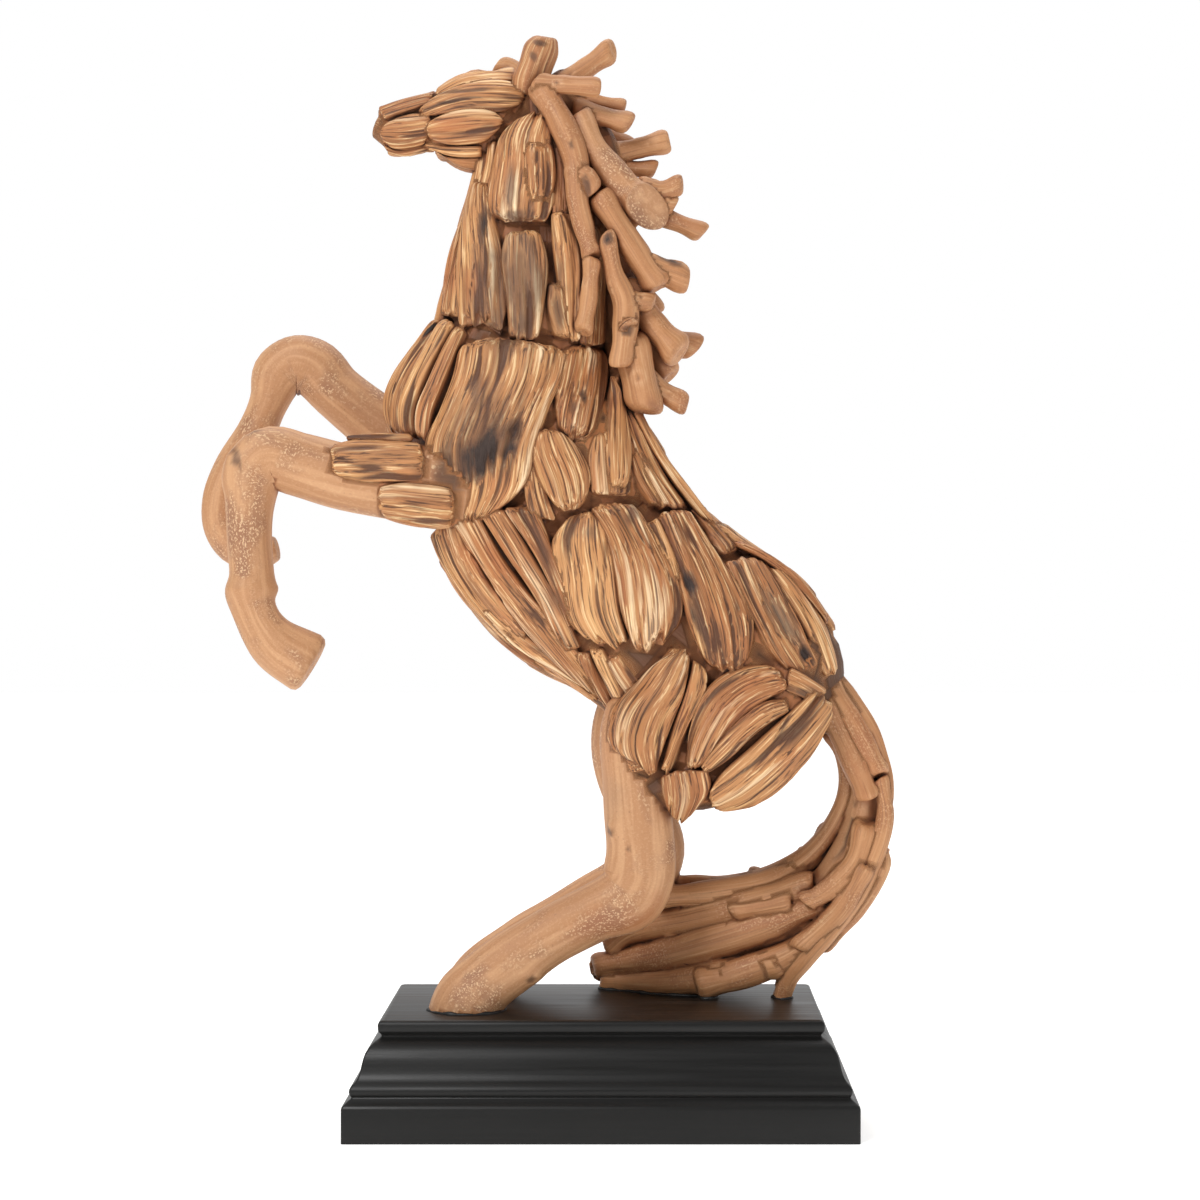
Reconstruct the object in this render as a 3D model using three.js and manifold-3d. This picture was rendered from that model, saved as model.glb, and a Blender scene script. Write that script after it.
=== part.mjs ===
// Rearing horse figurine, cast to look like driftwood, on a stepped black plinth.
// Millimetres, +Z up, origin at the centre of the plinth's underside.
// The horse faces -X and its near side, the side most often seen, faces -Y.
import * as THREE from "three";
import { mergeVertices } from "three/addons/utils/BufferGeometryUtils.js";
import Module from "manifold-3d";

const wasm = await Module();
wasm.setup();

// Driving dimensions of the plinth
const PLINTH_HEIGHT = 52.3;
const TOP_HALF_LENGTH = 101.2;
const TOP_HALF_DEPTH = 49;
const CORNER_RADIUS = 1.2;
// Edge profile of the plinth from the top down: [outward from the top slab's edge, height]
const PLINTH_PROFILE = [
  [-1.8, PLINTH_HEIGHT],
  [0, 50.6],
  [0, 47.6],
  [-1.6, 45.2],
  [0.6, 43.6],
  [3.5, 40.7],
  [5.8, 36.5],
  [7.2, 30.2],
  [9.2, 26.3],
  [11.6, 23.4],
  [10.6, 19.6],
  [14.3, 17.1],
  [14.8, 15.6],
  [14.8, 0],
];

// How finely a core is searched for the station nearest to a board
const CORE_SEARCH_STEPS = 80;
// Cores that miss a board's place by no more than this beyond the best one still carry it
const REACH_TOLERANCE = 0.5;
// Edges shorter than this are drawn together where boards and branches meet
const SHORTEST_EDGE = 1.8;
// Smallest double area that a face may be left with, in square mm
const SMALLEST_FACE = 0.02;
// Cosine of the most that a face may turn when an edge beside it is drawn together
const FOLD_LIMIT = 0.25;
// A board whose middle half width is more than this has squarer ends and more facets
const WIDE_BOARD = 9.6;
// The horse is cut off flat just above the plinth
const GLUE_GAP = 0.3;
const CUTTER_SIZE = 600;
// Facets round the solids
const TRUNK_FACETS = 12;
const NECK_FACETS = 10;
const LIMB_FACETS = 8;
const TAIL_FACETS = 7;
const BRANCH_FACETS = 5;
const KNOT_MERIDIANS = 6;
const KNOT_RINGS = 4;
const WIDE_BOARD_FACETS = 8;
const SLIM_BOARD_FACETS = 6;
const PLINTH_CORNER_POINTS = 3;

// How far a board reaches into the body under it
const BOARD_SINK = 6;
// Share of the body's own curve that a board takes up across its width
const BOARD_FLEX = 0.8;
// A board's outline from end to end: [share of its length, share of its width]
const SLIM_OUTLINE = [[0, 0], [0.07, 0.88], [0.5, 1], [0.93, 0.88], [1, 0]];
const WIDE_OUTLINE = [[0, 0], [0.05, 0.84], [0.25, 1.02], [0.75, 1.02], [0.95, 0.84], [1, 0]];
// Sections are rounded oblongs: 2 would make them oval, more makes them boxy
const CORE_BLUNTNESS = 2;
const BOARD_BLUNTNESS = 3;
// A branch narrows a little to the flat faces at its ends
const END_GIRTH = 0.92;

// Cores, as rows of [x, y, z, half height in the plane of the profile, half depth]
const TRUNK = [
  [-52, 0, 326, 42, 34],
  [-43, 0, 312.6, 53, 38],
  [-27, 0, 289.4, 55, 40],
  [-7.8, 0, 261.9, 53.6, 40],
  [22.1, 0, 239.4, 48.2, 39],
  [46, 0, 220, 50, 38],
  [67, 0, 209, 47.5, 35],
  [83, 0, 198.6, 38.6, 30],
  [94, 0, 186.5, 28, 23],
  [103, 0, 178, 15, 14],
];
const CHEST = [
  [-35, 0, 378, 33, 28],
  [-41, 0, 356, 40.5, 34],
  [-48, 0, 331, 50.5, 38],
  [-48, 0, 306, 47.5, 39],
  [-40, 0, 280, 36, 36],
];
const NECK = [
  [-40, 0, 345, 40, 30],
  [-35, 0, 373, 40.6, 28],
  [-34, 0, 402, 35, 25],
  [-32.5, 0, 430, 28.6, 22],
  [-32.5, 0, 455, 23.4, 19],
  [-34, 0, 484, 15, 14],
];
const CREST = [
  [-24, 0, 490, 9, 9],
  [-10, 0, 470, 13, 11],
  [-1, 0, 445, 15, 12],
  [3, 0, 415, 13, 14],
  [8, 0, 385, 15, 15],
  [12, 0, 357, 15, 14],
  [9, 0, 334, 13, 12],
];
const HEAD = [
  [-107.4, 0, 467.3, 6, 6],
  [-100.4, 0, 464.3, 10.8, 8],
  [-88, 0, 466.5, 11.5, 9.5],
  [-77, 0, 468, 14, 12],
  [-66, 0, 467.5, 21.5, 14.5],
  [-55, 0, 468.5, 22.5, 15.5],
  [-44, 0, 472.5, 17, 13.5],
  [-32, 0, 476, 10, 10],
];
const THIGH = [
  [98, 16, 222, 12, 13],
  [77, 23, 193, 28.2, 17],
  [54, 27, 174.5, 29.3, 17],
  [31.5, 26, 162.5, 22.6, 14],
  [16, 24, 152, 12, 11],
];
const STIFLE = [
  [52, 18, 230, 13, 13],
  [38, 24, 206, 17, 16],
  [26, 26, 182, 19, 16],
  [17, 25, 160, 17, 14],
];
const NEAR_FORELEG = [
  [-52, -24, 292, 19, 16],
  [-79.5, -27, 295, 19, 15],
  [-93, -27, 296.4, 18.2, 14],
  [-119, -27, 299, 15.2, 13],
  [-139.5, -27, 304.5, 14.6, 12.5],
  [-153, -27, 308, 14, 12.5],
  [-160.5, -27, 301, 14.5, 12],
  [-162, -27, 288.5, 11.5, 11],
  [-162.5, -27, 270, 10.6, 10],
  [-162, -27, 255, 10.6, 10],
  [-162, -27, 247, 12.4, 11.5],
  [-160.5, -27, 239, 10.4, 10.5],
  [-155.5, -27, 228.5, 10.6, 10.5],
  [-148.4, -27, 220.2, 12.7, 11.5],
  [-133.6, -27, 211.4, 14.2, 12.5],
];
const FAR_FORELEG = [
  [-66, 24, 305, 17, 15],
  [-90.5, 27, 313.5, 16.5, 14],
  [-113, 27, 328.7, 14.2, 12.5],
  [-130.3, 27, 342.8, 13.2, 12],
  [-140, 27, 353.6, 15, 12],
  [-149, 27, 356, 14.8, 12],
  [-156.5, 27, 351.2, 13.6, 11.5],
  [-162, 27, 337.8, 9.6, 10.5],
  [-168.4, 27, 323.6, 9, 9.5],
  [-179.5, 27, 305, 9.6, 9.2],
  [-184, 27, 290, 10, 9.2],
  [-184, 27, 277, 9.8, 9.5],
  [-177, 27, 267, 9.2, 9],
  [-165.7, 27, 265.5, 8.2, 9],
  [-158, 27, 267, 5.6, 7],
];
const NEAR_HIND_LEG = [
  [15, -20, 196, 12, 12],
  [13, -22, 180, 13.9, 12.5],
  [14.7, -22, 156.5, 14.8, 13],
  [16.5, -22, 135.5, 15.8, 13.5],
  [17.5, -22, 122, 15.8, 13.5],
  [17, -22, 113.5, 16.4, 13.5],
  [12, -22, 105, 16.2, 13],
  [-4, -22, 97.2, 14, 12],
  [-21.5, -22, 88, 13.7, 11.5],
  [-38, -22, 77.5, 14.5, 12],
  [-53, -22, 66.2, 14.8, 12.5],
  [-61, -22, 57, 15.8, 13.5],
  [-67, -22, 42, 16, 13.5],
];
const FAR_HIND_LEG = [
  [12, 20, 198, 12, 12],
  [8.8, 22, 180, 14.2, 12.5],
  [11.5, 22, 157, 14.8, 13],
  [19, 22, 136, 15, 13.5],
  [22.8, 22, 120, 16.2, 13.5],
  [13.8, 22, 106, 15.2, 13],
  [-4.5, 22, 95.8, 13.6, 12],
  [-22, 22, 86, 13.2, 11.5],
  [-38.5, 22, 75.6, 13.8, 12],
  [-53.5, 22, 65, 14.6, 12.5],
  [-61, 22, 55, 15.8, 13.5],
  [-65, 22, 42, 16, 13.5],
];
const TAIL = [
  [100, 0, 206, 9, 10],
  [109.6, 0, 199.5, 9, 10],
  [119, 0, 178, 10.5, 11],
  [124, 2, 152, 11, 11.5],
  [120.5, 5, 128, 12, 12.5],
  [103.4, 12, 98.6, 16, 14.5],
  [70.3, 20, 84, 21, 15.5],
  [46.4, 26, 78, 21, 16],
  [20, 34, 68.5, 14, 13],
  [-6, 42, 60, 8, 8],
];

// Boards laid on a core, as rows of
// [start x, start z, end x, end z, sideways bow, half widths at start, middle and end, lift]
const NEAR_TRUNK_BOARDS = [
  [-75.5, 272, -38, 224.5, -2, 5, 7, 5, 3],
  [-61, 277, 0, 199.5, -3, 4.5, 7, 4, 3.5],
  [-50, 281, -14, 214.5, -2, 5, 6.8, 4.5, 4],
  [-36.5, 279, -13, 225, -2, 5, 6.4, 3.5, 4],
  [-11.5, 278.5, 3, 219.5, -4, 8, 12, 8, 5],
  [5.6, 287, 26, 218.5, 1, 9.5, 16, 11, 6],
  [31, 283, 56.5, 208.5, 4, 6.5, 14.5, 9, 5],
  [21.5, 277, 36, 240, 1, 4, 5, 3, 3.5],
  [17.5, 325, 46, 281, 1, 5, 6.5, 4, 3.5],
  [13, 303, 33, 277, 0, 5, 6.5, 4, 2.5],
  [63, 262, 98, 207, 1, 8.5, 10, 6.5, 4.5],
  [61.5, 269, 107, 203, 2, 4, 6, 4, 4],
  [-5, 220.5, 8, 189, -1, 5.5, 7, 3, 4],
  [9, 216, 20, 196, 0, 5, 7, 5, 2],
  [92, 214, 104, 198, 0, 6, 7, 5, 3.5],
];
const NEAR_CHEST_BOARDS = [
  [-41, 357.5, -59.3, 278, -3, 23, 23.3, 13, 5.5],
  [-71.5, 367, -87, 319, -2, 5, 8, 7, 5],
  [-9, 359, -12.3, 313, 0, 8.5, 11.5, 9.5, 4.5],
  [6.2, 345, 7.2, 293, 0, 4.5, 6, 7, 5],
  [0, 314, 3, 290.5, 0, 8, 10.5, 9, 2.5],
  [-24.6, 319.5, -11.3, 282.5, 2, 5.5, 11, 9, 5],
  [-30, 311, -25, 281, 0, 5.5, 6, 5, 2.5],
];
const EDGE_CHEST_BOARDS = [
  [-77, 371, -96, 320, -8, 4.5, 6, 5, 4],
  [-84, 372, -104, 318, -8, 5, 8, 6, 3.5],
];
const FAR_CHEST_BOARDS = [
  [-47, 360, -54, 288, -2, 15, 19, 12, 5],
  [-72, 366, -86, 320, -2, 7, 9, 7, 4.5],
  [-14, 358, -20, 304, 0, 9, 13, 9, 4.5],
  [8, 344, 4, 290, 0, 6, 8.5, 7, 4],
];
const EDGE_TRUNK_BOARDS = [
  [-80, 262, -20, 203, -6, 6, 8, 5, 4],
  [-40, 214, 8, 184, -3, 6, 8, 5, 4],
  [18, 328, 64, 268, 2, 7, 8, 5, 4],
  [56, 282, 102, 240, 3, 8, 9, 6, 4],
  [74, 266, 106, 222, 4, 7, 9, 6, 3],
  [5, 341, 30, 306, 0, 6, 8, 6, 5],
];
const FAR_TRUNK_BOARDS = [
  [-28, 300, -24, 240, -2, 8, 11, 7, 4.5],
  [-6, 294, 4, 226, -2, 9, 12.5, 8, 5],
  [20, 290, 32, 220, 2, 8, 12.5, 9, 5],
  [42, 280, 60, 212, 3, 7, 11, 8, 4.5],
  [64, 262, 96, 206, 2, 8, 10.5, 7, 4.5],
  [-62, 274, -20, 220, -3, 6, 9, 6, 3.5],
  [-46, 272, 2, 198, -3, 6, 8, 5, 4],
  [-6, 222, 12, 190, 0, 7, 9, 5, 4],
  [18, 322, 48, 280, 2, 6, 7.5, 5, 3.5],
  [64, 270, 106, 206, 3, 5, 7, 5, 3.5],
  [-62, 300, -46, 268, 0, 8, 10, 8, 3],
];
const NEAR_NECK_BOARDS = [
  [-33.3, 468, -37.5, 413.5, -1, 8, 14.8, 10.5, 4.5],
  [-29.5, 462, -29.5, 424, 0, 5, 6, 5.5, 6],
  [-55, 434, -55.5, 364.5, 0, 3.5, 9.5, 10.5, 4.5],
  [-37.5, 412.5, -37, 362, 0, 8, 9.8, 6.8, 4.5],
  [-18, 420, -13, 363.5, 1, 5, 7.5, 7, 4],
  [-64, 424, -71.5, 370, -1, 3, 5, 4.5, 3.5],
  [-54.5, 455, -55.5, 431, 0, 5, 5.5, 4, 2.5],
  [-20, 453, -18, 418, 0, 5.5, 6, 5, 2],
  [-21, 388, -20, 363, 0, 3.5, 4.2, 3.5, 3],
];
const EDGE_NECK_BOARDS = [
  [-58, 452, -68, 412, 0, 5, 6, 5, 4],
  [-66, 418, -80, 368, 0, 5, 7, 6, 4],
];
const FAR_NECK_BOARDS = [
  [-35, 466, -40, 412, 0, 9, 14, 10, 4.5],
  [-56, 432, -58, 366, 0, 5, 10, 9, 4],
  [-38, 414, -36, 364, 0, 8, 10, 8, 4.5],
  [-18, 424, -12, 364, 0, 7, 9, 7, 4],
  [-54, 456, -56, 430, 0, 5, 6, 4, 2.5],
  [-18, 456, -16, 420, 0, 6, 7, 6, 2.5],
];
const NEAR_HEAD_BOARDS = [
  [-105, 468, -75, 476, 0, 3, 4, 3, 2],
  [-78, 480, -40, 487, 1, 3, 4.5, 4.5, 2],
  [-85, 471.5, -34, 477, 1.5, 3, 6, 5.5, 3],
  [-82, 462, -46.5, 465, 0, 4.5, 7.2, 5.5, 3],
  [-105, 459.5, -80, 461.5, 0, 5, 6.7, 5.5, 2],
  [-101.5, 452.8, -75, 453, -0.5, 2.5, 3.2, 3, 1.5],
  [-80, 454, -57, 448.5, -0.5, 3, 4.5, 4, 2],
];
const EDGE_HEAD_BOARDS = [
  [-107, 472, -77, 484, 0, 3, 5, 4, 1.5],
  [-78, 486, -42, 492, 1, 4, 6, 6, 2],
  [-103, 452, -78, 452, 0, 3, 4, 4, 1.5],
  [-78, 452, -58, 446, 0, 4, 5, 5, 1.5],
];
const FAR_HEAD_BOARDS = [
  [-105, 468, -76, 476, 0, 3.5, 4.5, 3.5, 2],
  [-78, 480, -40, 487, 1, 4, 5, 4.5, 2],
  [-86, 471, -36, 476, 1, 4, 6.5, 6, 3],
  [-83, 460, -48, 462, 0, 5, 8, 6, 3],
  [-104, 458, -82, 460, 0, 5, 7, 6, 2],
  [-80, 453, -58, 448.5, 0, 3, 4.5, 4, 1.5],
];
const NEAR_THIGH_BOARDS = [
  [81, 209.5, 41, 165, -3, 7, 15, 7.5, 4.5],
  [100, 198.5, 49, 153.5, 3, 7, 11.5, 7.5, 3.5],
  [43, 166, 32, 143, 1, 8, 8, 3.5, 3],
];
const FAR_THIGH_BOARDS = [
  [80, 212, 42, 166, -3, 8, 15, 8, 4.5],
  [100, 198, 50, 154, 3, 7, 11, 8, 3.5],
  [43, 166, 32, 144, 1, 8, 8, 4, 3],
];
const NEAR_STIFLE_BOARDS = [
  [35.5, 220, 13.5, 168, -2, 6, 12.5, 12, 4.5],
  [45, 214, 30.5, 164, -1, 4.5, 6, 4.5, 3.5],
];
const FAR_STIFLE_BOARDS = [
  [36, 220, 16, 168, -2, 8, 13, 11, 4.5],
];
const NEAR_FOREARM_BOARDS = [
  [-124, 305.5, -80.5, 305.3, 0, 5.5, 8.5, 8, 3.5],
  [-103, 286.5, -69, 284.5, 0, 7, 9.2, 8.5, 3.5],
  [-118, 314.3, -79, 315.5, 0.5, 2.5, 3, 3, 2.5],
];
const FAR_FOREARM_BOARDS = [
  [-118, 335, -84, 318, 1, 5, 7, 7, 3],
];

// Branches, as rows of [x, y, z, radius], thick end first or last as it grows
const NEAR_MANE = [
  [[-22, -2, 484, 5], [-8, -2, 492.8, 5.4], [4.8, -3, 502, 5.2]],
  [[-31, -20, 482, 4.5], [-18, -22, 481, 5], [-1, -24, 479.5, 4.6]],
  [
    [-29, -18, 481, 6], [-20, -21, 465, 7], [-12.5, -22, 446, 6.2],
    [-11.5, -25, 428, 5], [-7.5, -26, 411, 4.8], [-4.3, -27, 400, 4.6],
  ],
  [[-12, -24, 440, 4.5], [-6, -25, 436, 5], [-4.5, -25, 430, 3.5]],
  [[-12, -12, 470, 6.5], [-5, -16, 454, 7], [4, -18, 441.5, 8.2], [17, -17, 429, 11], [27, -15, 421, 10]],
  [[16, -12, 434, 6], [28, -9, 434, 5], [37.5, -8, 437.5, 4.4]],
  [[20, -8, 428, 6], [34, -6, 427.5, 4.2]],
  [[-14, -8, 473, 5.2], [0, -10, 468.5, 5.4], [13.2, -11, 465, 5.2]],
  [[-8, -2, 478, 3.8], [10.5, -2, 474.3, 3.8]],
  [[2, 2, 452.5, 5.6], [17, 2, 456, 5.4], [31.5, 2, 459.5, 5.4]],
  [[6, 4, 447, 4.4], [25, 4, 446, 4.4]],
  [[14, -4, 428, 5], [30, -3, 422, 4.8], [47.6, -2, 415, 4.6]],
  [[-1.5, -21, 431, 6.4], [8, -22, 415, 6.5], [19.5, -20, 396.5, 7], [26, -19, 387, 6.6]],
  [[18, -18, 398, 6.5], [29, -16, 395, 6.6], [40, -14, 391, 6.2]],
  [
    [2.2, -27, 411, 4], [5.9, -27, 392.5, 5], [10.5, -26, 379.5, 6],
    [10.1, -26, 365, 6.2], [8.2, -26, 350, 4.8],
  ],
  [[9, -26, 381.5, 5.2], [16, -24, 380.5, 4.6], [24, -22, 380, 4]],
  [[10, -28, 370, 4], [13, -31, 367.5, 4.4]],
  [[11, -14, 390, 6], [24.5, -16, 370, 7], [36, -16, 356.5, 7.8]],
  [[18, 9, 372, 6], [31, 9, 366.5, 5.6], [44, 10, 362, 6.6]],
  [[12, -17, 366, 8], [16.5, -19, 347, 9], [20.5, -18, 329.5, 7.4]],
  [[18, -16, 346, 6], [28, -12, 339.5, 5.8], [39.5, -10, 333.2, 5]],
  [[14, -2, 372, 7], [31.5, -3, 347, 7.4]],
  [[-4.5, -27, 401, 4.2], [-6, -28, 381, 4.3], [-8.8, -29, 365.5, 4.2]],
];
const FAR_MANE = [
  [[-30, 12, 480, 6], [-18, 20, 458, 6.5], [-10, 23, 430, 6], [-4, 26, 400, 5]],
  [[-20, 10, 478, 5.5], [-4, 12, 466, 6], [12, 12, 456, 6]],
  [[-8, 14, 456, 6], [4, 18, 438, 7], [18, 18, 424, 7.5]],
  [[0, 16, 436, 6], [16, 20, 408, 7], [26, 18, 392, 7]],
  [[0, 24, 410, 5.5], [8, 27, 385, 6], [10, 27, 356, 6]],
  [[10, 14, 402, 6.5], [24, 16, 378, 7]],
  [[12, 16, 372, 8], [22, 18, 342, 8.5]],
  [[-8, 26, 400, 5], [-8, 28, 368, 4.8]],
];
const EARS = [
  [[-37, -8, 478, 6.4], [-33.6, -9, 488, 8.8], [-29.8, -10, 498, 8.4], [-26.4, -10, 506, 5.2]],
  [[-37, 7, 480, 7], [-39, 10, 490, 7], [-45, 12, 496, 5.5], [-52, 13, 497, 4]],
];
const TAIL_STRANDS = [
  [[104, -3, 213, 5], [115, -4, 196.5, 5], [124.5, -5, 182, 4.5], [130.5, -4, 169, 4], [133.6, -4, 152, 4], [131, -2, 128, 3.6]],
  [[104, -8, 206, 5], [114, -10, 190, 5.5], [124, -10, 172, 5.4], [130, -9, 160, 5]],
  [[103, -8, 196, 6], [113, -9, 176, 6.5], [121, -9, 158, 6.6], [124, -10, 149, 5]],
  [
    [130, -8, 158, 4], [132.5, -8, 140, 4.4], [123.5, -6, 112, 5],
    [110, -4, 90.5, 4.8], [95.5, 2, 72, 5], [87, 8, 60, 5.2], [84.5, 11, 48, 5.2],
  ],
  [
    [108, 0, 180, 5], [115, 2, 165, 4.6], [114, 4, 146, 4.6], [101, 9, 124, 5],
    [84, 14, 111, 5.5], [60, 20, 103.5, 6], [44, 22, 104, 5.8], [28, 24, 104, 5.8],
  ],
  [[124, -6, 138, 6], [118, -6, 118, 6], [102, -4, 103, 5.4], [95, -4, 100, 4.4]],
  [[124, -8, 118, 5.5], [111, -6, 96, 5.6], [92, 0, 77, 4.8]],
  [[110, -1, 92, 6], [88, 5, 74, 6.5], [62, 9, 63, 8], [44, 11, 58, 7.5]],
  [[108, 2, 102, 7], [76, 9, 87, 8.5], [44, 17, 76, 8.5], [18, 27, 68, 7.5], [-6, 37, 63, 6]],
  [[100, 4, 108, 6], [70, 10, 98, 7.5], [42, 18, 90, 7.6], [14, 29, 82, 7.4], [2, 34, 72, 5.4]],
  [[90, 2, 100, 5], [74, 5, 96, 5], [60, 8, 93.5, 4.6]],
  [[84, 6, 70, 7], [50, 14, 62, 8], [22, 26, 57, 7], [-2, 38, 56, 6]],
  [[131, -2, 126, 4], [131.5, -3, 118, 4.6], [120, -1, 97, 4.6], [103, 2, 77, 4.4]],
  [[84, 22, 106, 5], [70, 22, 109, 4.4]],
  [[104, 16, 118, 5], [93.5, 17, 119.5, 4.4]],
];
const FAR_TAIL_STRANDS = [
  [[102, 8, 204, 6], [116, 10, 182, 6.5], [126, 12, 152, 6], [124, 16, 124, 6]],
  [[120, 14, 138, 6], [108, 24, 104, 7], [76, 34, 88, 8], [48, 40, 76, 8], [14, 44, 66, 6]],
  [[112, 20, 112, 6], [84, 32, 76, 8], [52, 40, 62, 8], [16, 45, 58, 6]],
];

// Knots: small bosses on the smooth limbs, [x, y, z, radius]
const KNOTS = [
  [-171, -30, 301, 5],
  [-159, -28, 314, 6],
  [-33, -33, 68, 5.5],
];

// A closed mesh as a solid that can be joined and cut
function asSolid(geometry) {
  const bare = geometry.clone();
  bare.deleteAttribute("normal");
  bare.deleteAttribute("uv");
  const merged = mergeVertices(bare, 1e-4);
  return new wasm.Manifold(new wasm.Mesh({
    numProp: 3,
    vertProperties: new Float32Array(merged.attributes.position.array),
    triVerts: new Uint32Array(merged.index.array),
  }));
}

function faceNormal(points, [a, b, c]) {
  const side = points[b].clone().sub(points[a]);
  return side.cross(points[c].clone().sub(points[a]));
}

// Draws the ends of short edges together, as paint and filler do in the casting's seams.
// An edge stays where its loss would fold a face over or pinch the surface.
function fillSeams(points, faces) {
  const around = points.map(() => new Set());
  faces.forEach((face) => face.forEach((corner) => around[corner].add(face)));
  const neighbours = (corner) => {
    const found = new Set([...around[corner]].flat());
    found.delete(corner);
    return found;
  };
  const keepsShape = (corner, other, target) => [...around[corner]].every((face) => {
    if (face.includes(other)) return true;
    const before = faceNormal(points, face);
    const moved = face.map((index) => (index === corner ? target : points[index]));
    const after = moved[1].clone().sub(moved[0]).cross(moved[2].clone().sub(moved[0]));
    return after.length() > SMALLEST_FACE && before.dot(after) > FOLD_LIMIT * before.length() * after.length();
  });
  const join = (keep, lose, target) => {
    [...around[lose]].forEach((face) => {
      if (face.includes(keep)) {
        face.forEach((corner) => around[corner].delete(face));
      } else {
        face[face.indexOf(lose)] = keep;
        around[keep].add(face);
      }
    });
    around[lose].clear();
    points[keep].copy(target);
  };
  let joined = true;
  while (joined) {
    joined = false;
    const edges = [];
    around.forEach((near, corner) => neighbours(corner).forEach((other) => {
      const length = points[corner].distanceTo(points[other]);
      if (corner < other && length < SHORTEST_EDGE) edges.push([length, corner, other]);
    }));
    edges.sort((one, other) => one[0] - other[0]);
    edges.forEach(([length, keep, lose]) => {
      if (around[keep].size === 0 || around[lose].size === 0) return;
      const beside = neighbours(keep);
      if (!beside.has(lose) || points[keep].distanceTo(points[lose]) > SHORTEST_EDGE) return;
      const shared = [...neighbours(lose)].filter((corner) => beside.has(corner));
      if (shared.length !== 2) return;
      const middle = points[keep].clone().lerp(points[lose], 0.5);
      const target = [middle, points[keep].clone(), points[lose].clone()]
        .find((place) => keepsShape(keep, lose, place) && keepsShape(lose, keep, place));
      if (!target) return;
      join(keep, lose, target);
      joined = true;
    });
  }
  return [...new Set(around.flatMap((near) => [...near]))];
}

// The outer skin of a solid: sealed pockets between boards and body are filled in the casting
function outerSkin(solid) {
  const largest = solid.decompose().reduce((one, other) => (one.volume() > other.volume() ? one : other));
  const mesh = largest.getMesh();
  const points = [];
  for (let i = 0; i < mesh.vertProperties.length; i += mesh.numProp) {
    points.push(new THREE.Vector3().fromArray(mesh.vertProperties, i));
  }
  const faces = [];
  for (let i = 0; i < mesh.triVerts.length; i += 3) {
    faces.push([...mesh.triVerts.slice(i, i + 3)]);
  }
  const geometry = new THREE.BufferGeometry().setFromPoints(points);
  geometry.setIndex(fillSeams(points, faces).flat());
  return geometry;
}

// A number row read at a share t of its length, straight between its stations
function readRow(values, t) {
  const place = THREE.MathUtils.clamp(t, 0, 1) * (values.length - 1);
  const low = Math.min(Math.floor(place), values.length - 2);
  return THREE.MathUtils.lerp(values[low], values[low + 1], place - low);
}

// A core is a curve with a half height and a half depth at each station
function makeCore(stations) {
  const curve = new THREE.CatmullRomCurve3(stations.map(([x, y, z]) => new THREE.Vector3(x, y, z)));
  const heights = stations.map((row) => row[3]);
  const depths = stations.map((row) => row[4] ?? row[3]);
  return { curve, heights, depths, count: stations.length };
}

// In-plane and sideways directions of a core at a share t of its length
function coreFrame(core, t) {
  const along = core.curve.getTangent(t);
  const up = new THREE.Vector3(0, 1, 0).cross(along).normalize();
  const out = along.clone().cross(up).normalize();
  return { along, up, out };
}

function power(value, bluntness) {
  return Math.sign(value) * Math.abs(value) ** (2 / bluntness);
}

// A ball drawn out along a path. Its rings are [share of the length, girth], a point at each end,
// and each ring is a rounded oblong.
function sweptBall(around, rings, bluntness, place) {
  const geometry = new THREE.SphereGeometry(1, around, rings.length - 1);
  const position = geometry.attributes.position;
  for (let i = 0; i < position.count; i += 1) {
    const polar = Math.acos(THREE.MathUtils.clamp(position.getY(i), -1, 1));
    const [t, girth] = rings[Math.round(polar / Math.PI * (rings.length - 1))];
    const angle = Math.atan2(position.getZ(i), position.getX(i));
    const across = girth * power(Math.cos(angle), bluntness);
    const proud = Math.sqrt(girth) * power(Math.sin(angle), bluntness);
    const point = place(t, across, girth === 0 ? 0 : proud);
    position.setXYZ(i, point.x, point.y, point.z);
  }
  return asSolid(geometry);
}

// A core or a branch has a ring at each station and a flat, slightly rounded end
function coreSolid(core, around) {
  const last = core.count - 1;
  const inner = core.heights.slice(1, -1).map((_, i) => [(i + 1) / last, 1]);
  const rings = [[0, 0], [0, END_GIRTH], ...inner, [1, END_GIRTH], [1, 0]];
  return sweptBall(around, rings, CORE_BLUNTNESS, (t, across, proud) => {
    const { up, out } = coreFrame(core, t);
    return core.curve.getPoint(t)
      .addScaledVector(up, across * readRow(core.heights, t))
      .addScaledVector(out, proud * readRow(core.depths, t));
  });
}

// A branch with few sides is swelled so that its section keeps the area of a round one
function branchSolid(stations, around = BRANCH_FACETS) {
  const swell = Math.sqrt(2 * Math.PI / (around * Math.sin(2 * Math.PI / around)));
  return coreSolid(makeCore(stations.map(([x, y, z, radius]) => [x, y, z, radius * swell])), around);
}

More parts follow.
